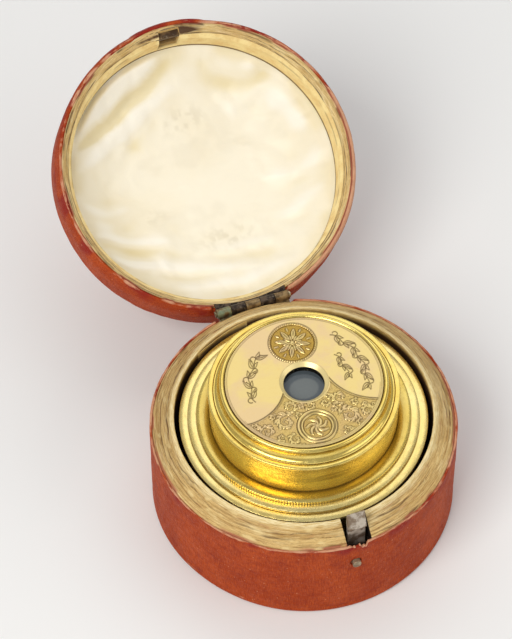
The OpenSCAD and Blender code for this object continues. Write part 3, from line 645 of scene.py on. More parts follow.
# light, deep, verdigris, roughness, metallic, relief
BLACKENED = tarnished_material("BlackenedBrass", (34, 30, 26), (18, 16, 14), 0.0, 0.5)
BRONZE = tarnished_material("TarnishedBronze", (158, 132, 92), (112, 90, 62), 0.75, 0.38, 0.8, 0.05)
DARK_BRONZE = tarnished_material("DarkBronze", (102, 86, 72), (52, 43, 38), 0.0, 0.38, 0.8, 0.05)
STEEL = tarnished_material("MottledSteel", (206, 194, 178), (138, 118, 98), 0.0, 0.4, 0.6)
IRON = tarnished_material("BrownIron", (118, 92, 60), (72, 52, 34), 0.0, 0.5, 0.5)
BUTTON = tarnished_material("DullBrassButton", (176, 160, 132), (126, 104, 80), 0.0, 0.4, 0.7)
FELT = felt_material()
GLASS = glass_material()


def paint(ob, material):
    ob.data.materials.clear()
    ob.data.materials.append(material)


# ---- Case ----
crease = Noise(11)
broad = Noise(12)
chips = Noise(13)


def around(theta, k):
    """Where noise is read round the axis; k is how many cells lie along the radius."""
    return np.cos(theta) * k, np.sin(theta) * k


def patchy(noise, theta, k, z, low, high):
    """Patches round the axis: 0 where the noise is below low, 1 where it is above high."""
    return ease_in(noise.fbm(*around(theta, k), z, 3), low, high)


def at_hinge(theta, r):
    """1 behind the hinge's barrel, 0 elsewhere."""
    across = np.abs(r * np.cos(theta))
    return (np.sin(theta) > 0) * (1 - ease_in(across, HINGE_HALF, HINGE_HALF + 0.4))


def bite(theta):
    """How far the leather's edge is broken away below the catch, in mm."""
    x = CASE_R * np.cos(theta)
    gap = 1.15 * ease_in(x, 0.9, 1.6) * (1 - ease_in(x, 2.6, 3.1))
    gap = gap + 0.35 * hump(x, -0.4, 0.8) - 0.2 * hump(x, -1.6, 0.5)
    return (np.sin(theta) < 0) * gap * (1 + 0.35 * chips.fbm(x * 1.6, 0.0 * x, 4.0, 3))


def case_leather_shape(theta, r, z, s):
    cx, cy = around(theta, 6.0)
    # shallow dents and creases of the side
    side = ease_in(r, 37.2, 37.5) * ease_in(z, 0.8, 3.0)
    dent = 0.10 * broad.fbm(cx, cy, z / 9.0, 3) - 0.06
    cross = 0.03 * crease.fbm(cx * 4, cy * 4, z / 1.1, 3)
    r = r + side * np.minimum(dent + cross, 0.0)
    ridge = hump(z, 1.9, 0.28) * (0.5 + 0.5 * crease.fbm(cx, cy, 3.0, 2))
    r = r - 0.14 * ridge * (r > 37.2)
    # a place at the left that is pressed in
    pressed = hump(theta, math.radians(214), 0.45) * (1 - 0.5 * ease_in(z, 20.0, 27.0))
    r = np.where(r > 36.9, np.maximum(r - 0.45 * pressed, 36.82), r)
    # the ragged top edge, lower behind the hinge and below the catch
    rag = 0.05 * crease.fbm(cx * 3, cy * 3, 7.0, 3) - 0.06
    chipped = np.abs(chips.fbm(cx * 6, cy * 6, 2.0, 3))
    rag = rag - 0.5 * hump(theta, FRONT + CATCH_X / CASE_R, 0.085) * chipped
    top = RIM_Z + rag - bite(theta)
    top = top + (25.6 - top) * at_hinge(theta, r)
    z = np.where(z > CORE_TOP, CORE_TOP + (z - CORE_TOP) * (top - CORE_TOP) / (RIM_Z - CORE_TOP), z)
    # the button's hole: the skin dips in round the stud
    away = np.hypot(r * np.cos(theta), z - BUTTON_Z)
    hole = (np.sin(theta) < 0) * (1 - ease_in(away, 1.15, 1.55))
    r = np.where(r > 36.9, r - 0.72 * hole, r)
    return r, z


CASE_ANGLES = front_dense_angles(760)
case_profile = (
    [(0, 0.0)]
    + subdivided([(0, 0.0), (36.8, 0.0)], 6.0)[1:]
    + arc_points(36.8, 0.7, 0.7, -80, 0, 5)
    + subdivided([(CASE_R, 0.7), (CASE_R, 18.0)], 0.55)[1:]
    + subdivided([(CASE_R, 18.0), (CASE_R, 21.4)], 0.17)[1:]
    + subdivided([(CASE_R, 21.4), (CASE_R, 26.75)], 0.4)[1:]
    + [(37.46, 26.92), (37.34, RIM_Z), (37.1, RIM_Z), (36.86, 26.98), (36.78, 26.8)]
    + [(SKIN_IN, CORE_TOP), (SKIN_IN, FLOOR_T), (20.0, FLOOR_T), (0, FLOOR_T)]
)


def case_wear(theta, r, z):
    cx, cy = around(theta, 5.0)
    edge = ease_in(z + bite(theta), 26.1, 26.95) * (r > 36.8)
    foot = 0.75 * hump(z, 1.1, 0.35) * (0.5 + 0.5 * chips.fbm(cx * 2, cy * 2, 1.0, 3))
    catch = 0.8 * hump(theta, FRONT, 0.09) * ease_in(z + bite(theta), 26.3, 26.8)
    return np.clip(edge * 0.62 + foot + catch, 0, 1)


def case_crimson(theta, r, z):
    high = ease_in(z, 22.0, 26.5) * patchy(chips, theta, 7.0, z / 6.0, 0.05, 0.6)
    catch = 0.35 * hump(theta, FRONT + 0.02, 0.12) * ease_in(z, 22.5, 26.0)
    return np.clip(0.75 * high + catch, 0, 0.9)


case_leather = turned(
    "BaseLeather",
    case_profile,
    "case",
    shape=case_leather_shape,
    attributes={"wear": case_wear, "crimson": case_crimson},
    angles=CASE_ANGLES,
    sharp=None,
    skin_radius=CASE_R,
)
paint(case_leather, LEATHER)
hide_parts("case_leather_base", "case_leather_side")


def layered(theta, t, seed_z, layers, amount):
    """Worn edges of the layers of a pasteboard rim: small steps, long cracks and torn places.

    t runs from 0 to 1 across the rim. Returns the height in mm, and where it is cracked and torn."""
    wander = 0.55 * crease.fbm(*around(theta, 1.6), seed_z, 3)
    wander = wander + 0.3 * crease.fbm(*around(theta, 9.0), seed_z + t * 3, 2)
    phase = t * layers + wander
    layer = np.floor(phase)
    step = phase - layer
    open_here = patchy(chips, theta, 2.6, layer * 3.1 + seed_z, -0.1, 0.4)
    gape = ease_in(chips.fbm(*around(theta, 4.2), layer * 5.7 + seed_z, 2), 0.05, 0.6)
    crack = hump(step, 0.5, 0.09 + 0.13 * gape) * open_here
    torn = patchy(chips, theta, 5.0, t * 6 + seed_z, 0.3, 0.62)
    fibre = crease.fbm(*around(theta, 14.0), t * 26 + seed_z, 3)
    slope = 0.5 * (step - 0.5)
    return amount * (-0.9 * crack - 0.55 * torn + slope * 0.6) + 0.2 * amount * fibre, crack, torn


SLOPE_RUN = BOARD_R - CONE_IN
CASE_RIM = {"seed_z": 2.0, "layers": 6}
LID_RIM = {"seed_z": 31.0, "layers": 5, "amount": 0.15}
case_rim_profile = (
    [(BOARD_OUT, CORE_TOP), (BOARD_OUT, 26.96)]
    + subdivided([(36.66, 27.02), (LINER_OUT + 0.02, 30.38)], 0.12)
    + [(LINER_OUT + 0.02, CORE_TOP)]
)


def slope_share(r):
    """0 at the outer edge of the case's sloped rim, 1 at its lip."""
    return np.clip((BOARD_R - r) / SLOPE_RUN, 0, 1)


def case_rim_shape(theta, r, z, s):
    t = slope_share(r)
    d = layered(theta, t, amount=0.16, **CASE_RIM)[0]
    on_slope = (z > 26.9) * 1.0
    nr, nz = 0.64, 0.768
    return r + d * nr * on_slope * ease_in(t, 0.0, 0.08), z + d * nz * on_slope


def case_rim_dark(theta, r, z):
    crack, torn = layered(theta, slope_share(r), amount=0.16, **CASE_RIM)[1:]
    shade = 0.2 * hump(theta, math.radians(150), 0.7)
    shade = shade + 0.16 * hump(np.mod(theta + 1, TAU), 1 + math.radians(10), 0.6)
    return np.clip(0.82 * crack + 0.1 * torn + shade, 0, 0.85) * (z > 26.9)


def case_rim_pale(theta, r, z):
    t = slope_share(r)
    lip = 0.7 * ease_in(t, 0.74, 0.9) * patchy(chips, theta, 16.0, t * 14, -0.6, 0.1)
    return np.clip(lip + 0.3 * patchy(crease, theta, 4.0, t * 5, 0.1, 0.7), 0, 0.9)


def case_rim_red(theta, r, z):
    outer = 1 - ease_in(slope_share(r), 0.02, 0.12)
    return np.clip(outer * patchy(chips, theta, 6.0, 4.0, -0.2, 0.5), 0, 0.8)


case_rim = turned(
    "BaseRim",
    case_rim_profile,
    "case",
    shape=case_rim_shape,
    attributes={"dark": case_rim_dark, "pale": case_rim_pale, "red": case_rim_red},
    angles=CASE_ANGLES,
    sharp=None,
)
paint(case_rim, BOARD)
cut_slot(case_rim, CATCH_X, NOTCH_HALF, (-38.5, -31.0), (23.0, 33.0))
cut_leaf_room(case_rim, 25.83, 29.0)
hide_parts("case_wall")


def case_liner_shape(theta, r, z, s):
    cx, cy = around(theta, 5.0)
    d = layered(theta, slope_share(r), amount=0.12, **CASE_RIM)[0]
    on = ease_in(z, 30.2, 30.5)
    wave = 0.05 * crease.fbm(cx * 2, cy * 2, 9.0, 3)
    return r + 0.5 * wave * on, z + (d * 0.6 + wave - 0.04) * on


case_liner = turned(
    "BaseLiner",
    [(LINER_OUT - 0.02, 2.4), (LINER_OUT - 0.02, 30.2)]
    + subdivided([(LINER_OUT - 0.02, 30.4), (CONE_IN, 30.96)], 0.12)
    + [(31.78, LIP_Z), (31.6, LIP_Z), (31.46, 30.95), (LINER_IN, 30.8)]
    + subdivided([(LINER_IN, 30.8), (LINER_IN, RIM_Z)], 0.4)[1:]
    + [(LINER_IN, 15.0), (LINER_IN, 2.4)],
    "case",
    shape=case_liner_shape,
    attributes={
        # painted shade on the liner's inner wall, down in the gap round the monocular
        "dark": lambda th, r, z: 0.95 * (1 - ease_in(z, 28.8, 30.75)) * (r < LINER_IN + 0.15),
        "pale": lambda th, r, z: 0.55 + 0.35 * ease_in(z, 30.4, 30.9),
        "red": lambda th, r, z: 0 * r,
    },
    angles=CASE_ANGLES,
    sharp=None,
)
paint(case_liner, BOARD)
cut_slot(case_liner, CATCH_X, NOTCH_HALF, (-38.5, -30.0), (16.5, 33.0))
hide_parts("case_liner")


def peeled_lining():
    """A loose strip of the lining paper that curls away from the case's mouth beside the hinge."""
    a = np.radians(np.linspace(97, 126, 60))
    th, t = np.meshgrid(a, np.linspace(0, 1, 14), indexing="ij")
    share = np.sin((th - a[0]) / (a[-1] - a[0]) * math.pi) ** 0.7
    r = LINER_IN - 0.04 - 0.62 * share * t**2
    z = 27.6 + (2.6 + 0.75 * share) * t - 0.25 * share * t**3 + 0.12 * crease.fbm(th * 12, t * 2, 3.0, 3)
    co = np.vstack([polar(r, th, z).reshape(-1, 3), polar(r + 0.1, th, z + 0.02).reshape(-1, 3)])
    lay = np.tile(polar(1.0, th, z).reshape(-1, 3), (2, 1))
    # painted shade on the strip's lower part, down in the gap
    dark = np.tile((0.85 * (1 - ease_in(t, 0.1, 0.75))).ravel(), 2)
    ob = make_mesh("PeeledLining", co, [sheet_faces(*th.shape)[0]], "case", {"lay": lay, "dark": dark})
    paint(ob, PAPER)


peeled_lining()


def wall_core():
    """The rest of the case's wall below the worn rim, with the notch and the room of the catch."""
    inner = LINER_OUT + 0.02
    profile = [(inner, WALL_Z), (BOARD_OUT, WALL_Z), (BOARD_OUT, CORE_TOP), (inner, CORE_TOP)]
    ob = turned("BaseWall", subdivided(profile, 4.0), "case", n=256, sharp=30)
    paint(ob, BOARD)
    cut_slot(ob, CATCH_X, NOTCH_HALF, (-36.71, -31.0), (16.5, 25.0))
    cut_slot(ob, CATCH_X, NOTCH_HALF, (-34.8, -31.0), (8.7, 20.0))


wall_core()

# ---- Lid ----
def lid_outline():
    """The outside of the lid from above its edge to the pole: side, shoulder and dome."""
    side = [(CASE_R + LID_SWELL * math.sin(math.pi / 2 * i / 6), 4.5 * i / 6) for i in range(7)]
    side += subdivided([side[-1], (side[-1][0], LID_SIDE_H)], 0.6)[1:]
    c = CASE_R + LID_SWELL - SHOULDER_R
    side += arc_points(c, LID_SIDE_H, SHOULDER_R, 0, 60, 5)[1:]
    r0 = c + SHOULDER_R * math.cos(math.radians(60))
    z0 = LID_SIDE_H + SHOULDER_R * math.sin(math.radians(60))
    rings = 26
    for i in range(1, rings + 1):
        r = max(r0 * (1 - (i / rings) ** 1.15), 0.0)
        side.append((r, z0 + (LID_TOP - z0) * (1 - (r / r0) ** DOME_POWER)))
    return side


def from_right(theta):
    """theta counted from -60 to 300 degrees, so that the lid's right side is in one piece."""
    return np.mod(theta + math.radians(60), TAU) - math.radians(60)


def lid_slim(theta):
    """How far the lid's wall stands back from its full swell, in mm."""
    turn = from_right(theta)
    right = ease_in(turn, math.radians(-60), math.radians(-30))
    right = right * (1 - ease_in(turn, math.radians(55), math.radians(85)))
    return np.maximum(1.05 * right, 0.6 * hump(turn, math.radians(225), 0.3))


def flap(theta):
    """1 where the leather has come away from the board over the keeper, 0 elsewhere."""
    x = 37.0 * np.cos(theta)
    return (np.sin(theta) < 0) * np.clip(1 - ((x - 0.5) / 9.5) ** 2, 0, 1)


def slit_width(theta):
    """Half width of the slit under the flap, as a share of the rim: a crack, and a gap at the right."""
    x = 37.0 * np.cos(theta)
    return 0.06 + 0.09 * ease_in(x, 1.0, 4.0) + 0.02 * crease.fbm(x * 0.8, 0 * x, 6.0, 3)


def lid_leather_shape(theta, r, z, s):
    cx, cy = around(theta, 6.0)
    # shallow dents and creases, not on the turned-in end of the skin
    outer = s > 2.0
    dent = 0.10 * broad.fbm(cx, cy, z / 9.0 + 20, 3) - 0.05
    cross = 0.03 * crease.fbm(cx * 4, cy * 4, z / 1.1 + 9, 3)
    away = ease_in(z, 0.2, 1.5) * ease_in(r, 2.0, 8.0)
    r = r + outer * away * np.minimum(dent + cross, -0.03)
    # room for the hinge
    z = z + at_hinge(theta, r) * (r > 36.0) * 1.5 * (1 - ease_in(z, 0, 3.0))
    # the wall stands back where the lid has lost its shape
    back = ease_in(z, 0.8, 5.0) * ease_in(r, 24.0, 36.0) * (1 - 0.48 * ease_in(z, 6.5, 9.0))
    slim = lid_slim(theta)
    r = r - np.where(z > 9.0, np.minimum(slim, 1.0), slim) * outer * back
    # the flap over the keeper, and nicks in the edge
    lifted = flap(theta) ** 0.6 * (1 - ease_in(z, 2.5, 8.0)) * ease_in(r, 36.0, 37.0)
    r = r + 0.6 * lifted
    z = z + 0.5 * lifted * (1 - ease_in(z, 0.0, 1.5))
    nicks = patchy(chips, theta, 15.0, 12.0, 0.05, 0.6)
    z = z + 0.4 * nicks * (1 - ease_in(z, 0.1, 1.4)) * (r > 36.0)
    return r, z


def lid_wear(theta, r, z):
    turn = from_right(theta)
    right = ease_in(turn, math.radians(-25), 0) * (1 - ease_in(turn, math.radians(75), math.radians(90)))
    bare = 0.62 * (1 - ease_in(z, 0.1, 1.0)) + 0.75 * right * (1 - ease_in(z, 0.6, 3.0))
    return np.clip(bare + 0.3 * hump(z, 11.6, 0.8) * patchy(chips, theta, 5.0, 2.0, 0, 0.6), 0, 1)


def lid_crimson(theta, r, z):
    low = (1 - ease_in(z, 1.5, 7.0)) * patchy(chips, theta, 6.0, z / 6.0 + 3, 0.0, 0.55)
    return np.clip(0.8 * low, 0, 0.85)

lid_leather = turned(
    "LidLeather",
    # from the turned-in end round the edge and over the dome to the pole
    [(36.78, 3.0), (36.78, 0.25), (36.86, 0.06), (37.1, 0.0), (37.34, 0.02), (CASE_R, 0.14)]
    + lid_outline()[1:],
    "lid",
    n=512,
    shape=lid_leather_shape,
    attributes={"wear": lid_wear, "crimson": lid_crimson},
    closed_lid=True,
    sharp=None,
    skin_radius=CASE_R,
)
paint(lid_leather, LEATHER)
solid = lid_leather.modifiers.new("skin", "SOLIDIFY")
solid.thickness = 0.0006
solid.offset = -1.0
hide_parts("lid_leather")


def lid_rim_shape(theta, r, z, s):
    t = np.clip(z / LID_BEVEL, 0, 1)
    d = layered(theta, t, **LID_RIM)[0]
    on = (z < 3.85) * (r > 34.0) * (r < 36.75)
    lifted = flap(theta) ** 0.6
    d = d - 1.3 * flap(theta) * hump(t, 0.36, slit_width(theta))
    r = r - lid_slim(theta) * (r > 37.0)
    out = 0.6 * lifted * (1 - ease_in(t, 0.16, 0.3)) * (r > 35.5) * (r < 36.8)
    return r + d * 0.825 * on + out, z - d * 0.565 * on + 0.45 * lifted * (t < 0.06) * (r < 36.8)


def lid_rim_dark(theta, r, z):
    t = np.clip(z / LID_BEVEL, 0, 1)
    crack, torn = layered(theta, t, **LID_RIM)[1:]
    # painted shade in the slit under the lifted flap
    slit = 2.4 * flap(theta) * hump(t, 0.36, 0.85 * slit_width(theta))
    slit = slit + 0.8 * hump(t, 0.1, 0.07) * patchy(chips, theta, 9.0, 22.0, 0.0, 0.45)
    slit = slit + 0.5 * hump(t, 0.62, 0.05) * patchy(crease, theta, 3.0, 17.0, -0.1, 0.4)
    return np.clip(0.95 * crack + 0.1 * torn + 0.4 * hump(z, 3.7, 0.2) + slit, 0, 0.95) * (z < 3.9)


def lid_rim_pale(theta, r, z):
    return 0.25 + 0.4 * patchy(crease, theta, 4.0, z, -0.1, 0.5)


def lid_rim_red(theta, r, z):
    return (1 - ease_in(z, 0.1, 0.6)) * patchy(chips, theta, 6.0, 14.0, -0.2, 0.5)


lid_rim = turned(
    "LidRim",
    [(36.74, 3.4), (36.74, 0.1)]
    + subdivided([(36.68, 0.02), (35.02, 2.44)], 0.1)
    + [(35.02, 9.9), (37.6, 9.9), (37.6, 4.4)],
    "lid",
    shape=lid_rim_shape,
    attributes={"dark": lid_rim_dark, "pale": lid_rim_pale, "red": lid_rim_red},
    angles=CASE_ANGLES,
    closed_lid=True,
    sharp=None,
)
paint(lid_rim, BOARD)
cut_slot(lid_rim, KEEPER_X, KEEPER_HALF, (-36.4, -33.0), (-1.0, 9.2), closed_lid=True)
cut_leaf_room(lid_rim, -1.0, 1.2, closed_lid=True)
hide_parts("lid_wall")


def lid_liner_shape(theta, r, z, s):
    d = layered(theta, np.clip(z / LID_BEVEL, 0, 1), **LID_RIM)[0]
    on = (z < 3.79) * (r > 34.05)
    wave = 0.05 * crease.fbm(*around(theta, 6.0), z / 3 + 40, 3)
    return r + d * 0.6 * on + wave * (z > 3.9) * (r < 34.5), z - d * 0.5 * on


def lid_liner_dark(theta, r, z):
    edge = hump(z, 3.75, 0.22) * patchy(crease, theta, 5.0, 3.0, -0.3, 0.4)
    # painted shade at the liner's foot where the silk meets it, with dark marks along its edge
    return np.clip(0.85 * ease_in(z, 9.1, 9.5) + 0.45 * edge, 0, 0.9)


lid_liner = turned(
    "LidLiner",
    [(34.98, 10.2), (34.98, 2.6)]
    + subdivided([(34.94, 2.58), (34.12, 3.78)], 0.12)
    + [(LID_BORE, 3.95)]
    + subdivided([(LID_BORE, 3.95), (LID_BORE, 10.2)], 0.4)[1:],
    "lid",
    shape=lid_liner_shape,
    attributes={"dark": lid_liner_dark},
    angles=CASE_ANGLES,
    closed_lid=True,
    sharp=None,
)
paint(lid_liner, PAPER)
cut_slot(lid_liner, KEEPER_X, KEEPER_HALF, (-38.0, -32.0), (-1.0, 9.2), closed_lid=True)
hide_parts("lid_liner")


# ---- Silk ----
silk_noise = Noise(31)


def silk_height(r):
    return SILK_D + SILK_DISH * (1 - np.minimum(r / SILK_R, 1) ** DOME_POWER)


def fold(x, y, points, width, height, sharp=0.4):
    """Height of one fold of cloth along a line: soft on its left side and steep on its right."""
    p = np.asarray(points, float)
    s = lengths(p)
    at = np.linspace(0, 1, 180)
    bend = [np.interp(at * s[-1], s, p[:, k]) for k in (0, 1)]
    for _ in range(90):
        bend = [np.concatenate([b[:1], (b[:-2] + b[1:-1] + b[2:]) / 3, b[-1:]]) for b in bend]
    px, py = bend
    tx, ty = np.gradient(px), np.gradient(py)
    best = np.full(np.shape(x), 1e9)
    out = np.zeros(np.shape(x))
    for k in range(180):
        dx, dy = x - px[k], y - py[k]
        d = np.hypot(dx, dy)
        side = dx * ty[k] - dy * tx[k] > 0
        swell = math.sin(math.pi * (0.04 + 0.92 * at[k])) ** 0.6
        w = width * (0.6 + 0.6 * swell) * np.where(side, sharp, 1.0)
        near = d < best
        out = np.where(near, height * swell * np.exp(-((d / w) ** 2)), out)
        best = np.minimum(best, d)
    return out


FOLDS = [
    # points, width, height, sharpness of the steep side
    ([(3, -34), (-5, -31), (-15, -27), (-24, -21.5), (-31, -17)], 3.4, 1.7, 0.6),
    ([(2, -32.5), (-3, -29.5), (-8, -26.2), (-16, -21.8), (-23, -18.2), (-31, -15)], 1.9, -1.2, 0.8),
    ([(0, -26), (-8, -22.5), (-16, -17.5), (-25, -13)], 3.2, 0.7, 0.7),
    ([(-9, -31), (-17, -28), (-25, -23)], 1.3, 0.5, 0.5),
    ([(-16, -19), (-24, -13), (-33, -8)], 2.4, 0.8, 0.5),
    ([(-6, -24), (-13, -19), (-19, -12)], 2.6, 0.6, 0.6),
    ([(6, -31), (12, -25), (19, -21.5), (27, -22)], 3.6, -1.1, 0.6),
    ([(10, -28), (17, -24.5), (24, -25)], 2.0, 0.7, 0.5),
    ([(22, -19), (28, -13), (31, -5)], 2.4, 0.8, 0.5),
    ([(27, -16), (31, -10), (33, -2)], 1.3, -0.5, 0.8),
    ([(-8, 16.5), (-16, 12), (-28, 8.5), (-33, 9)], 2.8, 1.0, 0.35),
    ([(8, 26), (-1, 25), (-12, 20.5), (-24, 17), (-30, 14)], 2.6, 1.2, 0.35),
    ([(14, 20), (4, 20.5), (-6, 18)], 2.0, 0.7, 0.45),
    ([(16, 27), (4, 29.5), (-8, 27.5), (-18, 24)], 2.2, 0.9, 0.4),
    ([(30, 10), (22, 14), (12, 15)], 3.2, 0.7, 0.5),
    ([(32, 2), (25, 4), (17, 3)], 2.6, 0.5, 0.5),
    ([(-33, 0), (-27, 1.5), (-20, 0.5)], 2.4, 0.7, 0.5),
    ([(-32, 4.5), (-26, 5), (-21, 4)], 1.6, 0.5, 0.5),
]


def warped(x, y):
    """The place at which the cloth's relief is read, moved a little so that no line is straight."""
    return [v + 1.2 * silk_noise.fbm(x / 12, y / 12, seed, 2) for v, seed in ((x, 1.0), (y, 5.0))]


def folds_up(x, y):
    """Height of all folds together."""
    return sum(fold(*warped(x, y), *f) for f in FOLDS)


def silk_front(x, y, loose):
    """Height of the cloth's face above the lid's edge. loose is the relief from the cloth simulation."""
    r = np.hypot(x, y)
    base = silk_height(np.minimum(r, SILK_R))
    wx, wy = warped(x, y)
    up = folds_up(x, y)
    ridged = 1 - np.abs(silk_noise.fbm(wx / 10, wy / 5.0, 9.0, 3))
    up = up + 0.3 * np.clip(ridged - 0.5, 0, 1)
    theta = np.arctan2(y, x)
    pucker = ease_in(r, 25, 33.5)
    up = up + pucker * 0.25 * silk_noise.fbm(np.cos(theta) * 9, np.sin(theta) * 9, r / 22, 3)
    rim = ease_in(r, 31.8, SILK_R)
    most = 1.0 + 1.0 * ease_in(r, 20, 26)
    up = np.minimum(up + loose, most)
    up = np.where(up > 0.6 * most, 0.6 * most + 0.4 * most * np.tanh((up - 0.6 * most) / (0.4 * most)), up)
    return base - np.maximum(up, -0.9) * (1 - rim * 0.7) + 1.0 * rim**3


def disc_grid(n):
    """Points of a square grid spread evenly over a disc of radius 1."""
    a = np.linspace(-1, 1, n)
    u, v = np.meshgrid(a, a, indexing="ij")
    wide = np.abs(u) > np.abs(v)
    big = np.where(wide, u, v)
    small = np.where(wide, v, u)
    phi = np.where(big != 0, small / np.where(big == 0, 1, big), 0) * math.pi / 4
    x = np.where(wide, big * np.cos(phi), big * np.sin(phi))
    y = np.where(wide, big * np.sin(phi), big * np.cos(phi))
    return x, y


def blown_cloth(co, faces, held):
    """Cloth simulation of the pad: its face is a little too large and has pressure behind it.

    It runs at 30 times the size, where the cloth's settings behave better."""
    grow = 30.0
    a, b, c = (co[faces[:, i]] for i in range(3))
    if np.einsum("ij,ij->i", a, np.cross(b, c)).sum() < 0:
        faces = faces[:, ::-1]
    me = bpy.data.meshes.new("SilkTrial")
    me.from_pydata((co * MM * grow).tolist(), [], faces.tolist())
    ob = bpy.data.objects.new("SilkTrial", me)
    bpy.context.scene.collection.objects.link(ob)
    group = ob.vertex_groups.new(name="held")
    group.add([int(i) for i in np.nonzero(held)[0]], 1.0, "REPLACE")
    mod = ob.modifiers.new("Cloth", "CLOTH")
    c = mod.settings
    c.quality = 6
    c.mass = 0.3
    c.tension_stiffness = 20
    c.compression_stiffness = 20
    c.shear_stiffness = 10
    c.bending_stiffness = 0.6
    c.shrink_min = -0.03
    c.use_pressure = True
    c.uniform_pressure_force = 0.8
    c.vertex_group_mass = "held"
    c.effector_weights.gravity = 0
    mod.collision_settings.use_collision = False
    mod.point_cache.frame_end = 24
    for frame_number in range(1, 21):
        bpy.context.scene.frame_set(frame_number)
    made = ob.evaluated_get(bpy.context.evaluated_depsgraph_get()).to_mesh()
    out = np.zeros(len(co) * 3)
    made.vertices.foreach_get("co", out)
    bpy.context.scene.frame_set(1)
    bpy.data.objects.remove(ob)
    return out.reshape(-1, 3) / grow / MM


def build_silk():
    n = 105
    ux, uy = disc_grid(n)
    x, y = (ux * SILK_R).ravel(), (uy * SILK_R).ravel()
    r = np.hypot(x, y)
    base = silk_height(r) + 0.7 * ease_in(r, 31.6, SILK_R) ** 3
    rear = silk_height(r) + SILK_T - 0.02
    half = len(x)
    faces, edge = sheet_faces(n, n)
    co = np.vstack([np.stack([x, y, base], -1), np.stack([x, y, rear], -1)])
    loose = np.zeros(half)
    held = np.concatenate([r > SILK_R - 0.5, np.ones(half, bool)])
    start = co.copy()
    start[:half, 2] -= 0.35 * silk_noise.fbm(x / 5, y / 5, 30.0, 2) * (r < SILK_R - 1)
    blown = blown_cloth(start, faces, held)
    rise = (co[:half, 2] - blown[:half, 2]).reshape(n, n)
    loose = np.clip(blurred(rise, 1) - blurred(rise, 4), -0.7, 0.7).ravel()
    loose = loose * (0.12 + 0.6 * ease_in(r, 14, 26)) * (1 - ease_in(r, 31.0, 33.5))
    z = silk_front(x, y, loose)
    z[edge] = silk_height(SILK_R) + 0.7
    co[:half, 2] = np.minimum(z, rear - 0.1)
    # tones: painted highlights on the ridges, painted shade in the hollows, near the rim and at the left, a
    # few grey stains
    px, py = co[:, 0], co[:, 1]
    r = np.hypot(px, py)
    up = (folds_up(x, y) + 0.35 * loose).reshape(n, n)
    hollow = blurred(blurred(up, 4) - up, 1).ravel() * (1 - ease_in(r[:half], 31.5, 33.5))
    hollow = np.concatenate([hollow, 0 * hollow])
    stain = 0.12 * ease_in(silk_noise.fbm(px / 10, py / 8, 20.0, 4), 0.4, 0.9)
    speck = ease_in(silk_noise.fbm(px / 1.4, py / 1.4, 2.0, 3), -0.1, 0.7)
    for most, sx, wide, sy, high in ((0.4, 1, 6, -17, 3), (0.4, 3, 7, 16, 3.5), (0.25, -14, 4, 6, 2)):
        stain += most * speck * hump(px, sx, wide) * hump(py, sy, high)
    # painted shade near the rim, in the folds' hollows and in a patch at the left
    silk_shade = 0.5 * ease_in(r, 28, 34) * ease_in(silk_noise.fbm(px / 8, py / 8, 15.0, 2), -0.6, 0.5)
    silk_shade += 0.62 * ease_in(hollow, 0.02, 0.42) + 0.2 * hump(px, -26, 8) * hump(py, 10, 12)
    tones = {
        "flat": np.stack([px, py, 0 * px], -1),
        "stain": np.clip(stain, 0, 0.5),
        "silk_shade": np.clip(silk_shade, 0, 0.85),
        # painted highlights on the ridges
        "ridge": 0.9 * ease_in(-hollow, 0.0, 0.34),
    }
    ob = make_mesh("LidSilk", co, [faces], "lid", tones, closed_lid=True)
    paint(ob, SILK)
    finer = ob.modifiers.new("finer", "SUBSURF")
    finer.levels = finer.render_levels = 1
    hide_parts("lid_silk_pad")


build_silk()


# ---- Engraving ----
CELL = 0.05
HALF = 20.0
SIDE = int(2 * HALF / CELL) + 1


class Engraving:
    """A height map of the plate, in mm: cut lines are below 0 and raised work above."""

    def __init__(self):
        axis = np.linspace(-HALF, HALF, SIDE)
        self.x, self.y = np.meshgrid(axis, axis, indexing="ij")
        self.height = np.zeros((SIDE, SIDE))
        self.cut = np.zeros((SIDE, SIDE))
        self.matted = np.zeros((SIDE, SIDE))

    def window(self, u, v, reach):
        k = int(reach / CELL) + 2
        i, j = int(round((u + HALF) / CELL)), int(round((v + HALF) / CELL))
        if not (k < i < SIDE - k and k < j < SIDE - k):
            return None
        return slice(i - k, i + k + 1), slice(j - k, j + k + 1)

    def distance(self, strokes, reach):
        d = np.full((SIDE, SIDE), reach)
        for stroke in strokes:
            for u, v in along(stroke, 0.06):
                w = self.window(u, v, reach)
                if w:
                    d[w] = np.minimum(d[w], np.hypot(self.x[w] - u, self.y[w] - v))
        return d

    def lines(self, strokes, width=0.1, depth=0.07, mask=None):
        d = self.distance(strokes, width * 3)
        g = np.exp(-((d / width) ** 2)) * (d < width * 3)
        if mask is not None:
            g = g * mask
        self.height -= depth * g
        self.cut = np.maximum(self.cut, g)

    def relief(self, strokes, mask=None, ground=0.0):
        """Raised rounded strokes. Each is (points, widest radius, height) and tapers to both ends."""
        top = np.full((SIDE, SIDE), -1.0)
        for points, radius, height in strokes:
            p = along(points, 0.07)
            t = np.linspace(0, 1, len(p))
            taper = np.sin(np.pi * np.clip(0.12 + 0.83 * t, 0, 1)) ** 0.7
            for (u, v), share in zip(p, taper):
                w = self.window(u, v, radius * share)
                if w:
                    d = np.hypot(self.x[w] - u, self.y[w] - v) / (radius * share)
                    g = height * (0.45 + 0.55 * share) * np.sqrt(np.clip(1 - d * d, 0, 1))
                    top[w] = np.maximum(top[w], np.where(d < 1, g, -1.0))
        on = (top >= 0) if mask is None else (top >= 0) & (mask > 0.5)
        self.height = np.where(on, np.maximum(self.height, ground) + top, self.height)
        self.matted = np.where(on, 0.12, self.matted)
        return on


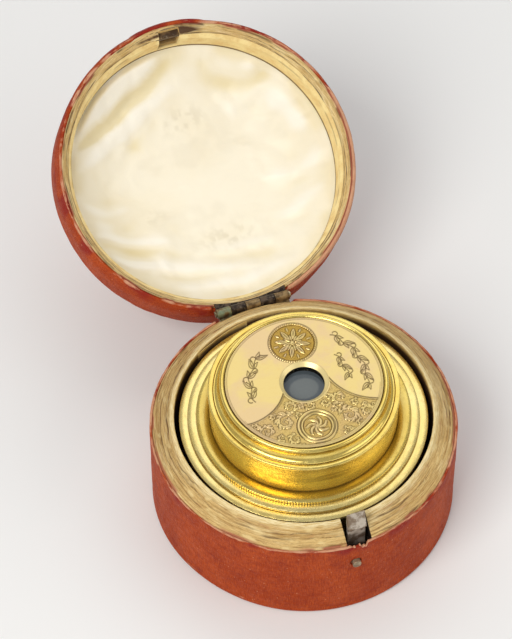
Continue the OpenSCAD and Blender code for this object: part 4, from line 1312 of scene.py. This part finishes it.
def along(points, gap):
    """Points along a path, about gap apart."""
    p = np.asarray(points, float)
    s = lengths(p)
    at = np.linspace(0, s[-1], max(2, int(s[-1] / gap)))
    return np.stack([np.interp(at, s, p[:, 0]), np.interp(at, s, p[:, 1])], -1)


def circle(cx, cy, r, a0=0.0, a1=360.0):
    n = max(12, int(r * abs(a1 - a0) / 12))
    return polar(r, np.radians(np.linspace(a0, a1, n))) + (cx, cy)


def spiral(cx, cy, r0, r1, a0, turn):
    t = np.linspace(0, 1, 80)
    return polar(r0 * (r1 / r0) ** t, np.radians(a0 + turn * t)) + (cx, cy)


def curl(x, y, heading, length, bend, n=18):
    """A stroke that leaves a point and turns steadily by bend degrees."""
    a = np.radians(heading + bend * np.linspace(0, 1, n))
    steps = [np.concatenate([[0], np.cumsum(part(a[1:]))]) for part in (np.cos, np.sin)]
    return length / (n - 1) * np.stack(steps, -1) + (x, y)


def ray(cx, cy, a, *radii):
    """Points at some distances from a centre, in the direction of a degrees."""
    c, s = math.cos(math.radians(a)), math.sin(math.radians(a))
    return [(cx + k * c, cy + k * s) for k in radii]


def leaf(x, y, direction, length, width, bend=0.0):
    """Outline and vein of a pointed leaf."""
    t = np.linspace(0, 1, 24)
    a = math.radians(direction)
    mid = np.stack([t * length, bend * length * t**2], -1)
    half = width * np.sin(np.pi * t**0.8) * (1 - 0.25 * t)
    up, down = mid + np.stack([0 * t, half], -1), mid - np.stack([0 * t, half], -1)
    turn = np.array([[math.cos(a), math.sin(a)], [-math.sin(a), math.cos(a)]])
    return [p @ turn + (x, y) for p in (up, down, mid[3:-4])]


def heading_at(path, i):
    """The direction of a path at one of its points, in degrees."""
    d = path[min(i + 2, len(path) - 1)] - path[max(i - 2, 0)]
    return math.degrees(math.atan2(d[1], d[0]))


def three_point_circle(a, b, c):
    (ax, ay), (bx, by), (cx, cy) = a, b, c
    d = 2 * (ax * (by - cy) + bx * (cy - ay) + cx * (ay - by))
    ux = ((ax**2 + ay**2) * (by - cy) + (bx**2 + by**2) * (cy - ay) + (cx**2 + cy**2) * (ay - by)) / d
    uy = ((ax**2 + ay**2) * (cx - bx) + (bx**2 + by**2) * (ax - cx) + (cx**2 + cy**2) * (bx - ax)) / d
    return ux, uy, math.hypot(ax - ux, ay - uy)


# the plate's parts: a disc each, as centre and radius
ROSETTE = (1.2, 11.7, 5.8)
MEDALLION = (-1.3, -13.1, 4.8)
LEFT_FIELD = three_point_circle((-5.6, -1.2), (-9.9, -5.6), (-17.2, -7.3))
RIGHT_FIELD = three_point_circle((6.0, -0.8), (9.9, -7.2), (15.4, -10.4))


def acanthus(path, size, lobes, side, out):
    """Leaf lobes that peel off a stem, alternately large and small."""
    for k in range(lobes):
        t = 0.04 + 0.86 * k / max(1, lobes - 1)
        i = int(t * (len(path) - 1))
        heading = heading_at(path, i)
        length = size * (1 - 0.55 * t) * (1.0 if k % 2 else 0.72)
        out.append((curl(*path[i], heading + side * 62, length, -side * 75), 0.34 * length**0.5, 0.16))
        low = curl(*path[i], heading - side * 40, length * 0.55, side * 60)
        out.append((low, 0.24 * length**0.5, 0.12))


def scrollwork():
    """Raised strokes of all scrolls in the matted field."""
    strokes = []
    # centre, outer and inner radius, start and turn in degrees, number and size of the lobes
    for cx, cy, r0, r1, a0, turn, lobes, size in (
        (-8.0, -9.6, 2.5, 0.4, 30, 600, 12, 1.9),
        (-12.9, -10.7, 1.9, 0.35, 200, -540, 9, 1.5),
        (-5.7, -5.6, 1.7, 0.3, 250, 540, 9, 1.3),
        (7.0, -12.6, 2.5, 0.4, 160, -600, 12, 1.9),
        (11.3, -12.7, 1.5, 0.3, -20, 520, 8, 1.3),
        (6.4, -6.9, 1.9, 0.35, 290, -540, 9, 1.5),
        (-0.9, -7.0, 1.2, 0.3, 180, 480, 6, 1.1),
        (2.7, -7.3, 1.0, 0.3, 0, -460, 6, 1.0),
        (-7.5, -15.0, 1.5, 0.3, 60, 520, 8, 1.3),
        (5.0, -16.7, 1.1, 0.3, 120, -480, 6, 1.1),
        (-4.4, -9.0, 0.9, 0.3, 0, 460, 5, 0.9),
        (9.6, -9.4, 0.9, 0.3, 40, 460, 5, 0.9),
        (-10.3, -13.5, 1.0, 0.3, 300, -460, 5, 1.0),
        (-15.2, -8.7, 0.8, 0.25, 160, -440, 5, 0.9),
        (-10.4, -7.4, 0.8, 0.25, 20, 440, 5, 0.8),
        (9.0, -15.3, 1.0, 0.3, 60, 460, 5, 1.0),
        (13.4, -11.6, 0.7, 0.25, 200, 440, 4, 0.8),
        (4.0, -9.6, 0.8, 0.25, 90, -440, 5, 0.8),
        (3.9, -5.6, 0.8, 0.25, 250, 440, 4, 0.8),
        (-3.2, -6.3, 0.7, 0.25, 60, -440, 4, 0.8),
        (6.6, -17.0, 0.6, 0.25, 0, 440, 4, 0.7),
        (-6.6, -17.3, 0.6, 0.25, 0, 440, 4, 0.7),
        (11.6, -10.6, 0.6, 0.2, 300, -440, 4, 0.7),
    ):
        path = spiral(cx, cy, r0, r1, a0, turn)
        strokes.append((path, 0.26, 0.13))
        acanthus(path[:52], size, lobes, -1 if turn > 0 else 1, strokes)
    return strokes


def whorl(cx, cy):
    """Leaves that turn round the medallion's middle."""
    arms = []
    for k in range(7):
        a = 360 * k / 7
        arms.append((curl(*ray(cx, cy, a, 0.35)[0], a + 20, 3.1, 120), 0.4, 0.2))
        arms.append((curl(*ray(cx, cy, a, 2.2)[0], a + 100, 1.1, -90), 0.26, 0.14))
    return arms + [(circle(cx, cy, 0.22), 0.4, 0.26)]


def rosette(cx, cy):
    """Petals of paired leaves round a boss, with smaller leaves between them."""
    petals = []
    for k in range(8):
        a = 45 * k + 22.5
        for turn in (-1, 1):
            petals.append((curl(*ray(cx, cy, a, 1.2)[0], a - 24 * turn, 3.1, 46 * turn), 0.3, 0.24))
        petals.append((ray(cx, cy, a, 1.5, 3.2), 0.22, 0.14))
        petals.append((ray(cx, cy, a + 22.5, 0.7, 2.3), 0.34, 0.28))
        petals.append((ray(cx, cy, a + 22.5, 3.6, 4.7), 0.26, 0.16))
    return petals + [(circle(cx, cy, 0.2), 0.55, 0.34)]


def spray(radius, a0, a1, count, size):
    """A wavy stem round the plate's centre: its thin strokes with tendrils, and its leaves."""
    t = np.linspace(0, 1, 90)
    a = np.radians(a0 + (a1 - a0) * t)
    path = polar(radius + 0.35 * np.sin(t * math.pi * count), a)
    thin, leaves = [path], []
    for k in range(count):
        i = int((k + 0.5) / count * (len(path) - 1))
        heading = heading_at(path, i)
        side = 1 if k % 2 else -1
        leaves += leaf(*path[i], heading + side * 52, size, size * 0.22, -0.22 * side)
        leaves += leaf(*path[i], heading + side * 8, size * 0.7, size * 0.16, -0.3 * side)[:2]
        thin.append(curl(*path[i], heading - side * 40, size * 0.95, -side * 230))
    return thin, leaves


def engrave():
    e = Engraving()
    x, y = e.x, e.y
    r = np.hypot(x, y)
    grit = Noise(41)
    stipple = grit(x / 0.19, y / 0.19, 1.0)
    left = np.hypot(x - LEFT_FIELD[0], y - LEFT_FIELD[1]) - LEFT_FIELD[2]
    right = np.hypot(x - RIGHT_FIELD[0], y - RIGHT_FIELD[1]) - RIGHT_FIELD[2]
    mx, my, mr = MEDALLION
    dm = np.hypot(x - mx, y - my)
    segment = (left > 0.25) & (right > 0.25) & (y < 1.0) & (r > 6.3) & (r < 18.1) & (dm > mr + 0.1)
    # scrolls stand on a finely matted ground
    e.matted = np.where(segment, 0.42, 0.0)
    e.height += np.where(segment, -0.06 + 0.03 * stipple, 0.0)
    e.relief(scrollwork(), segment, -0.05)
    starts = [(a, b) for a in np.arange(-17, 17, 0.55) for b in np.arange(-18, 1, 1.1)]
    slanted = [np.array([(a, b), (a + 0.75, b - 0.55)]) for a, b in starts]
    e.lines(slanted, 0.05, 0.03, segment * (grit.fbm(x / 2.2, y / 2.2, 8.0, 2) > 0.1) * 0.8)
    # borders of the two plain fields, the left one with a rope of short strokes
    inside = (r < 18.3) & (r > 6.0) & (y < 1.5)
    e.lines([circle(*LEFT_FIELD)], 0.12, 0.1, inside * (right > -0.1))
    e.lines([circle(*RIGHT_FIELD)], 0.12, 0.1, inside * (left > -0.1))
    rope = []
    for a in np.radians(np.arange(0, 360, 1.3)):
        step = np.array([math.cos(a), math.sin(a)])
        rope.append(np.array([LEFT_FIELD[:2] + (LEFT_FIELD[2] + k) * step for k in (0.1, 0.55)]))
    e.lines(rope, 0.07, 0.06, inside * (y > -6.2) * (x < 0))
    e.lines([circle(*RIGHT_FIELD[:2], RIGHT_FIELD[2] + 0.5)], 0.07, 0.05, inside * (left > 0))
    # medallion: rings round a leafy whorl
    e.height = np.where(dm < mr, 0.0, e.height)
    e.matted = np.where(dm < mr, 0.1, e.matted)
    ring_out, ring_in = circle(mx, my, mr - 0.3, 1, 361), circle(mx, my, mr - 1.15, 90, 450)
    e.relief([(ring_out, 0.42, 0.16), (ring_in, 0.3, 0.13)])
    core = dm < mr - 1.45
    e.matted = np.where(core, 0.6, e.matted)
    e.height = np.where(core, -0.08 + 0.03 * stipple, e.height)
    e.relief(whorl(mx, my), dm < mr - 1.4, -0.06)
    e.lines([circle(mx, my, mr + k) for k in (0.08, -0.72, -1.48)], 0.09, 0.08)
    # rosette in a beaded border
    cx, cy, cr = ROSETTE
    dr = np.hypot(x - cx, y - cy)
    e.matted = np.where(dr < cr, 0.9, e.matted)
    e.height = np.where(dr < cr - 0.5, -0.09 + 0.035 * stipple, e.height)
    e.relief(rosette(cx, cy), dr < cr - 0.5, -0.08)
    beads, bead_r = 62, 0.26
    for k in range(beads):
        a = TAU * k / beads
        u, v = cx + (cr - 0.2) * math.cos(a), cy + (cr - 0.2) * math.sin(a)
        w = e.window(u, v, 0.3)
        d = np.hypot(e.x[w] - u, e.y[w] - v)
        bead = 0.14 * np.sqrt(np.clip(1 - (d / bead_r) ** 2, 0, 1))
        e.height[w] = np.maximum(e.height[w], np.where(d < bead_r, bead, -1))
        e.matted[w] = np.where(d < bead_r, 0.05, e.matted[w])
    e.lines([circle(cx, cy, cr - 0.6)], 0.08, 0.08)
    e.lines([circle(cx, cy, cr + 0.18)], 0.07, 0.05)
    # valleys between raised strokes hold dirt
    valley = np.clip((blurred(e.height, 3) - e.height) / 0.055, 0, 1)
    e.cut = np.maximum(e.cut, 0.9 * valley * (segment | (dr < cr) | (dm < mr)))
    # leafy sprays in the two plain fields
    sprays = [spray(13.0, 188, 124, 5, 2.9), spray(15.2, 46, -26, 7, 2.7), spray(10.8, 28, -12, 3, 2.4)]
    e.lines([stroke for thin, _ in sprays for stroke in thin], 0.11, 0.08)
    e.lines([stroke for _, leaves in sprays for stroke in leaves], 0.1, 0.08)
    # fine lines round the plate's edge
    e.lines([circle(0, 0, 18.45)], 0.06, 0.05)
    e.lines([circle(0, 0, 18.72)], 0.05, 0.04)
    e.lines([circle(0, 0, 18.15)], 0.05, 0.03, y < -6)
    return e


def sample(field, x, y):
    """The values of a height map at points in mm."""
    u = np.clip((x + HALF) / CELL, 0, SIDE - 1.001)
    v = np.clip((y + HALF) / CELL, 0, SIDE - 1.001)
    i, j = u.astype(int), v.astype(int)
    fu, fv = u - i, v - j
    return (
        field[i, j] * (1 - fu) * (1 - fv)
        + field[i + 1, j] * fu * (1 - fv)
        + field[i, j + 1] * (1 - fu) * fv
        + field[i + 1, j + 1] * fu * fv
    )


def build_plate():
    """The plate as rings of points that follow the engraving, with the eye hole's bore and sink."""
    e = engrave()
    sides = 1100
    bore_edge = EYE_HOLE_R + 0.05
    hole = [(EYE_HOLE_R, PLATE_Z + 0.02), (EYE_HOLE_R, PLATE_TOP - 1.0)]
    hole += [(4.92, PLATE_TOP - 0.93), (4.98, PLATE_TOP - 0.89)]
    sink = [(5.84, PLATE_TOP - 0.08), (5.96, PLATE_TOP)]
    top = [(r, PLATE_TOP) for r in np.linspace(6.05, 18.9, 148)]
    edge = [(18.95, PLATE_TOP - 0.03), (18.99, PLATE_TOP - 0.1), (18.99, PLATE_Z + 0.02)]
    profile = np.array(hole + sink + top + edge)
    th = np.repeat(np.arange(sides)[None] * TAU / sides, len(profile), 0)
    r, z = (np.repeat(profile[:, k : k + 1], sides, 1) for k in (0, 1))
    x, y = r * np.cos(th), r * np.sin(th)
    on_top = (z > PLATE_TOP - 0.001) & (r > 6.0) & (r < 18.92)
    z = np.where(on_top, z + sample(e.height, x, y), z)
    cutting = np.where(on_top, 0.8 * sample(e.cut, x, y), 0)
    tones = {
        # cut: dirt in the engraving, and painted shade on the plate's edge where it sits in the head
        "cut": np.maximum(cutting, 0.7 * (r > 18.92)),
        "matted": np.clip(np.where(on_top, sample(e.matted, x, y), 0), 0, 1),
        # the countersink, given a pale, less metallic finish as a painted bright reflection
        "hole": (r > bore_edge) & (r < 5.9),
        "bore": r < bore_edge,
    }
    faces = grid_faces(len(profile), sides, wrap_rows=True)
    ob = make_mesh("EyepiecePlate", np.stack([x, y, z], -1), [faces], "eyepiece", tones)
    paint(ob, PLATE)
    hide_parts("eyepiece_plate")


build_plate()

# ---- Monocular ----
def softened(profile, bevel=0.08):
    """The profile with each of its corners cut by a small bevel."""
    p = [np.array(q, float) for q in profile]
    out = []
    for i, q in enumerate(p):
        a, b = p[i - 1], p[(i + 1) % len(p)]
        la, lb = np.linalg.norm(a - q), np.linalg.norm(b - q)
        cosine = np.dot(a - q, b - q) / (la * lb)
        if cosine > -0.9:
            out.append(tuple(q + (a - q) / la * min(bevel, la / 3)))
            out.append(tuple(q + (b - q) / lb * min(bevel, lb / 3)))
        else:
            out.append(tuple(q))
    return out


def gilt_ring(name, profile, body, node, material, dark, n=360, shape=None):
    attributes = {"dark": dark}
    ob = turned(name, softened(profile, 0.07), body, n=n, shape=shape, attributes=attributes, sharp=50)
    paint(ob, material)
    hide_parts(node)


def ring_top(inner, z):
    """The flat top of a draw's ring, with points close together at the painted shade line by its guide."""
    return [(inner + k, z) for k in (1.3, 1.17, 1.08, 0.99, 0.85, 0.0)]


def body_ring_dark(theta, r, z):
    # painted contact shadow, with some tarnish, in the corner at the foot of the ring above; the outer side
    # gets a painted darker, browner reflection, heavier in patches
    side = (r > 30.15) * (z < 29.24)
    worn = patchy(crease, theta, 8.0, z, -0.2, 0.5)
    return 0.6 * hump(r, 28.13, 0.09) * (z > 29.2) + side * (0.25 + 0.3 * worn)


gilt_ring(
    "BodyRing",
    [(27.05, 24.8), (28.48, 24.8), (28.48, 28.0), (30.2, 28.0), (30.2, 29.3)] + ring_top(27.05, 29.3),
    "monocular",
    "body_ring",
    GILT_PALE,
    body_ring_dark,
)
gilt_ring(
    "DrawRing1",
    [(24.95, 26.15), (26.38, 26.15), (26.38, 29.35), (28.1, 29.35), (28.1, 30.2)] + ring_top(24.95, 30.2),
    "draw_1",
    "draw_1_ring",
    GILT_PALE,
    # painted contact shadow at the foot of the ring above, and a painted darker reflection on the outer
    # side
    lambda th, r, z: 0.6 * hump(r, 26.03, 0.09) * (z > 30.1) + 0.4 * (r > 28.05) * (z < 30.14),
)


def milled(theta, r, z, s):
    teeth = 240
    wave = 0.5 - 0.5 * np.cos(theta * teeth)
    on = (r > 25.9) * (z > 30.26) * (z < 31.02)
    return r - 0.16 * wave * on, z


def milled_dark(theta, r, z):
    between_teeth = (r < 25.98) * (r > 25.7) * (z < 31.1) * (z > 30.26)
    # dark between the teeth; painted shade on the inner edge of the top, in the gap against the tube
    return 0.45 * between_teeth + 0.6 * (r < 23.0) * (z > 31.0)


gilt_ring(
    "DrawRing2",
    [(22.85, 27.05), (24.28, 27.05), (24.28, 30.25), (26.0, 30.25), (26.0, 31.2), (22.85, 31.2)],
    "draw_2",
    "draw_2_ring",
    GILT,
    milled_dark,
    n=1440,
    shape=milled,
)


def eyepiece_profile():
    """The turned head: seat of the plate, screw, lip with its groove, cove and bead."""
    lip = HEAD_Z + 0.85
    bead_r, bead_z = PLATE_R + 0.02 + BEAD_R, HEAD_TOP - BEAD_R
    cove_top_r, cove_top_z = bead_r + BEAD_R, bead_z - 0.15
    cove_w, cove_h = 21.65 - cove_top_r, cove_top_z - lip
    p = [(17.1, PLATE_Z - 0.8), (18.8, PLATE_Z - 0.8), (21.38, 39.9), (21.38, 37.8), (22.18, 37.8)]
    p += [(22.18, 40.2), (23.0, 40.2), (23.08, 40.26), (23.1, 40.36), (23.1, 40.86), (23.04, 40.98)]
    p += [(22.94, 41.05), (21.98, 41.05), (21.92, 41.02), (21.84, 40.88), (21.78, 40.86), (21.72, 40.9)]
    p += [(21.68, 41.05)]
    for i in range(13):
        a = math.radians(7.5 * i)
        p.append((cove_top_r + cove_w * (1 - math.sin(a)), lip + cove_h * (1 - math.cos(a))))
    p += arc_points(bead_r, bead_z, BEAD_R, -15, 180, 20)[1:]
    p += [(19.02, PLATE_Z), (17.1, PLATE_Z)]
    return p


def head_dark(theta, r, z):
    # painted shade in the lip's groove, in the gap round the plate and in the corner behind the bead
    groove = (np.abs(r - 21.8) < 0.12) * (z < 41.04) * (z > 40.8)
    round_plate = (r < 19.06) * (z < 43.9) * (r > 19.0)
    return np.clip(0.8 * groove + 0.8 * round_plate + 0.6 * hump(r, 20.33, 0.07) * (z > 42.9), 0, 1)


attributes = {"dark": head_dark}
head = turned("EyepieceHead", eyepiece_profile(), "eyepiece", n=420, attributes=attributes, sharp=40)
paint(head, GILT)
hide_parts("eyepiece_head")


def tube_dark(theta, r, z):
    """Painted shade in rings at both ends of the visible tube, under the head and at the ring below, and
    painted darker reflections in streaks at its front.
    """
    ends = 0.6 * hump(z, 31.25, 0.2) + 0.22 * ease_in(z, 38.2, 39.9)
    streak = patchy(crease, theta, 2.0, z * 1.3, -0.1, 0.5)
    front = hump(theta, math.radians(264), 0.4) * ease_in(z, 33, 36)
    return np.clip(ends + 0.42 * streak * front, 0, 0.8)


tube = turned(
    "EyepieceTube",
    softened(subdivided([(22.2, 18.5), (22.8, 18.5), (22.8, 30.0)], 8.0), 0.0)[:-1]
    + subdivided([(22.8, 30.0), (22.8, 40.13)], 0.25)
    + [(22.75, 40.18), (22.2, 40.18)],
    "eyepiece",
    n=360,
    attributes={"dark": tube_dark},
    sharp=50,
)
paint(tube, GILT_DEEP)
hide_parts("eyepiece_tube")


# ---- CAD pieces that stay, with their finishes ----
def add_lay(ob):
    """Gives a CAD piece the direction attribute that the turned brass material reads."""
    me = ob.data
    co = np.zeros(len(me.vertices) * 3)
    me.vertices.foreach_get("co", co)
    co = co.reshape(-1, 3) / MM
    r = np.hypot(co[:, 0], co[:, 1])
    safe = np.maximum(r, 1e-6)
    lay = np.stack([co[:, 0] / safe, co[:, 1] / safe, r + co[:, 2]], -1).astype(np.float32)
    me.attributes.new("lay", "FLOAT_VECTOR", "POINT").data.foreach_set("vector", lay.ravel())


FINISHES = (
    (BOARD, "case_floor", "lid_crown"),
    (FELT, "case_floor_pad"),
    (BRONZE, "hinge_base_leaf", "hinge_base_rivets", "hinge_pin"),
    (DARK_BRONZE, "hinge_lid_leaf", "hinge_lid_rivets"),
    (STEEL, "catch_rivet", "catch_spring"),
    (BUTTON, "catch_button"),
    (IRON, "lid_keeper"),
    (GILT, "body_tube", "objective_cell", "draw_1_tube", "draw_2_tube"),
    (GLASS, "objective_lens", "eye_lens"),
    (INNER_BRASS, "objective_retaining_ring", "draw_1_stop_ring", "draw_2_stop_ring", "eyepiece_stop_ring"),
    (BLACKENED, "eye_lens_cell", "eye_lens_retainer"),
)
for material, *names in FINISHES:
    for name in names:
        add_lay(NODES[name])
        paint(NODES[name], material)

# ---- Stage, light and camera ----
bpy.ops.mesh.primitive_plane_add(size=6.0, location=(0, 0, -0.0002))
floor = bpy.context.object
floor.name = "Floor"
floor.data.materials.append(floor_material())


def area_light(name, location, target, size, power, colour=(1, 1, 1)):
    light = bpy.data.lights.new(name, "AREA")
    light.shape = "RECTANGLE"
    light.size, light.size_y = size
    light.energy = power
    light.color = colour
    ob = bpy.data.objects.new(name, light)
    bpy.context.scene.collection.objects.link(ob)
    ob.location = location
    ob.rotation_mode = "QUATERNION"
    ob.rotation_quaternion = (Vector(target) - Vector(location)).to_track_quat("-Z", "Y")


LIT_POINT = (0, 0.03, 0.02)
area_light("TopSoftbox", (0.25, 0.55, 0.85), LIT_POINT, (1.05, 0.85), 2.5)
area_light("KeyLight", (-0.58, -0.4, 0.82), LIT_POINT, (0.6, 0.6), 6.9, (1.0, 0.99, 0.965))
area_light("FillLight", (0.8, -0.6, 0.6), LIT_POINT, (0.9, 0.7), 2.4, (1.0, 0.985, 0.96))

world = bpy.data.worlds.new("SoftStudio")
world.use_nodes = True
bpy.context.scene.world = world
background = world.node_tree.nodes["Background"]
background.inputs["Color"].default_value = (0.95, 0.95, 0.95, 1)
background.inputs["Strength"].default_value = 0.4

# the camera fitted to the photo's edges
CAMERA_AT = Vector((-151.8, -410.3, 665.0)) * MM
CAMERA_TARGET = Vector((-0.76, 33.0, 27.0)) * MM
CAMERA_ROLL = math.radians(-0.404)
camera_data = bpy.data.cameras.new("PhotoCamera")
camera_data.sensor_fit = "HORIZONTAL"
camera_data.sensor_width = 36.0
camera_data.lens = 223.8
camera_data.clip_start = 0.01
camera_data.clip_end = 20.0
camera = bpy.data.objects.new("PhotoCamera", camera_data)
bpy.context.scene.collection.objects.link(camera)
camera.location = CAMERA_AT
look = (CAMERA_TARGET - CAMERA_AT).to_track_quat("-Z", "Y").to_matrix().to_4x4()
camera.matrix_world = Matrix.Translation(CAMERA_AT) @ look @ Matrix.Rotation(CAMERA_ROLL, 4, "Z")
bpy.context.scene.camera = camera
bpy.context.scene.view_settings.view_transform = "Standard"
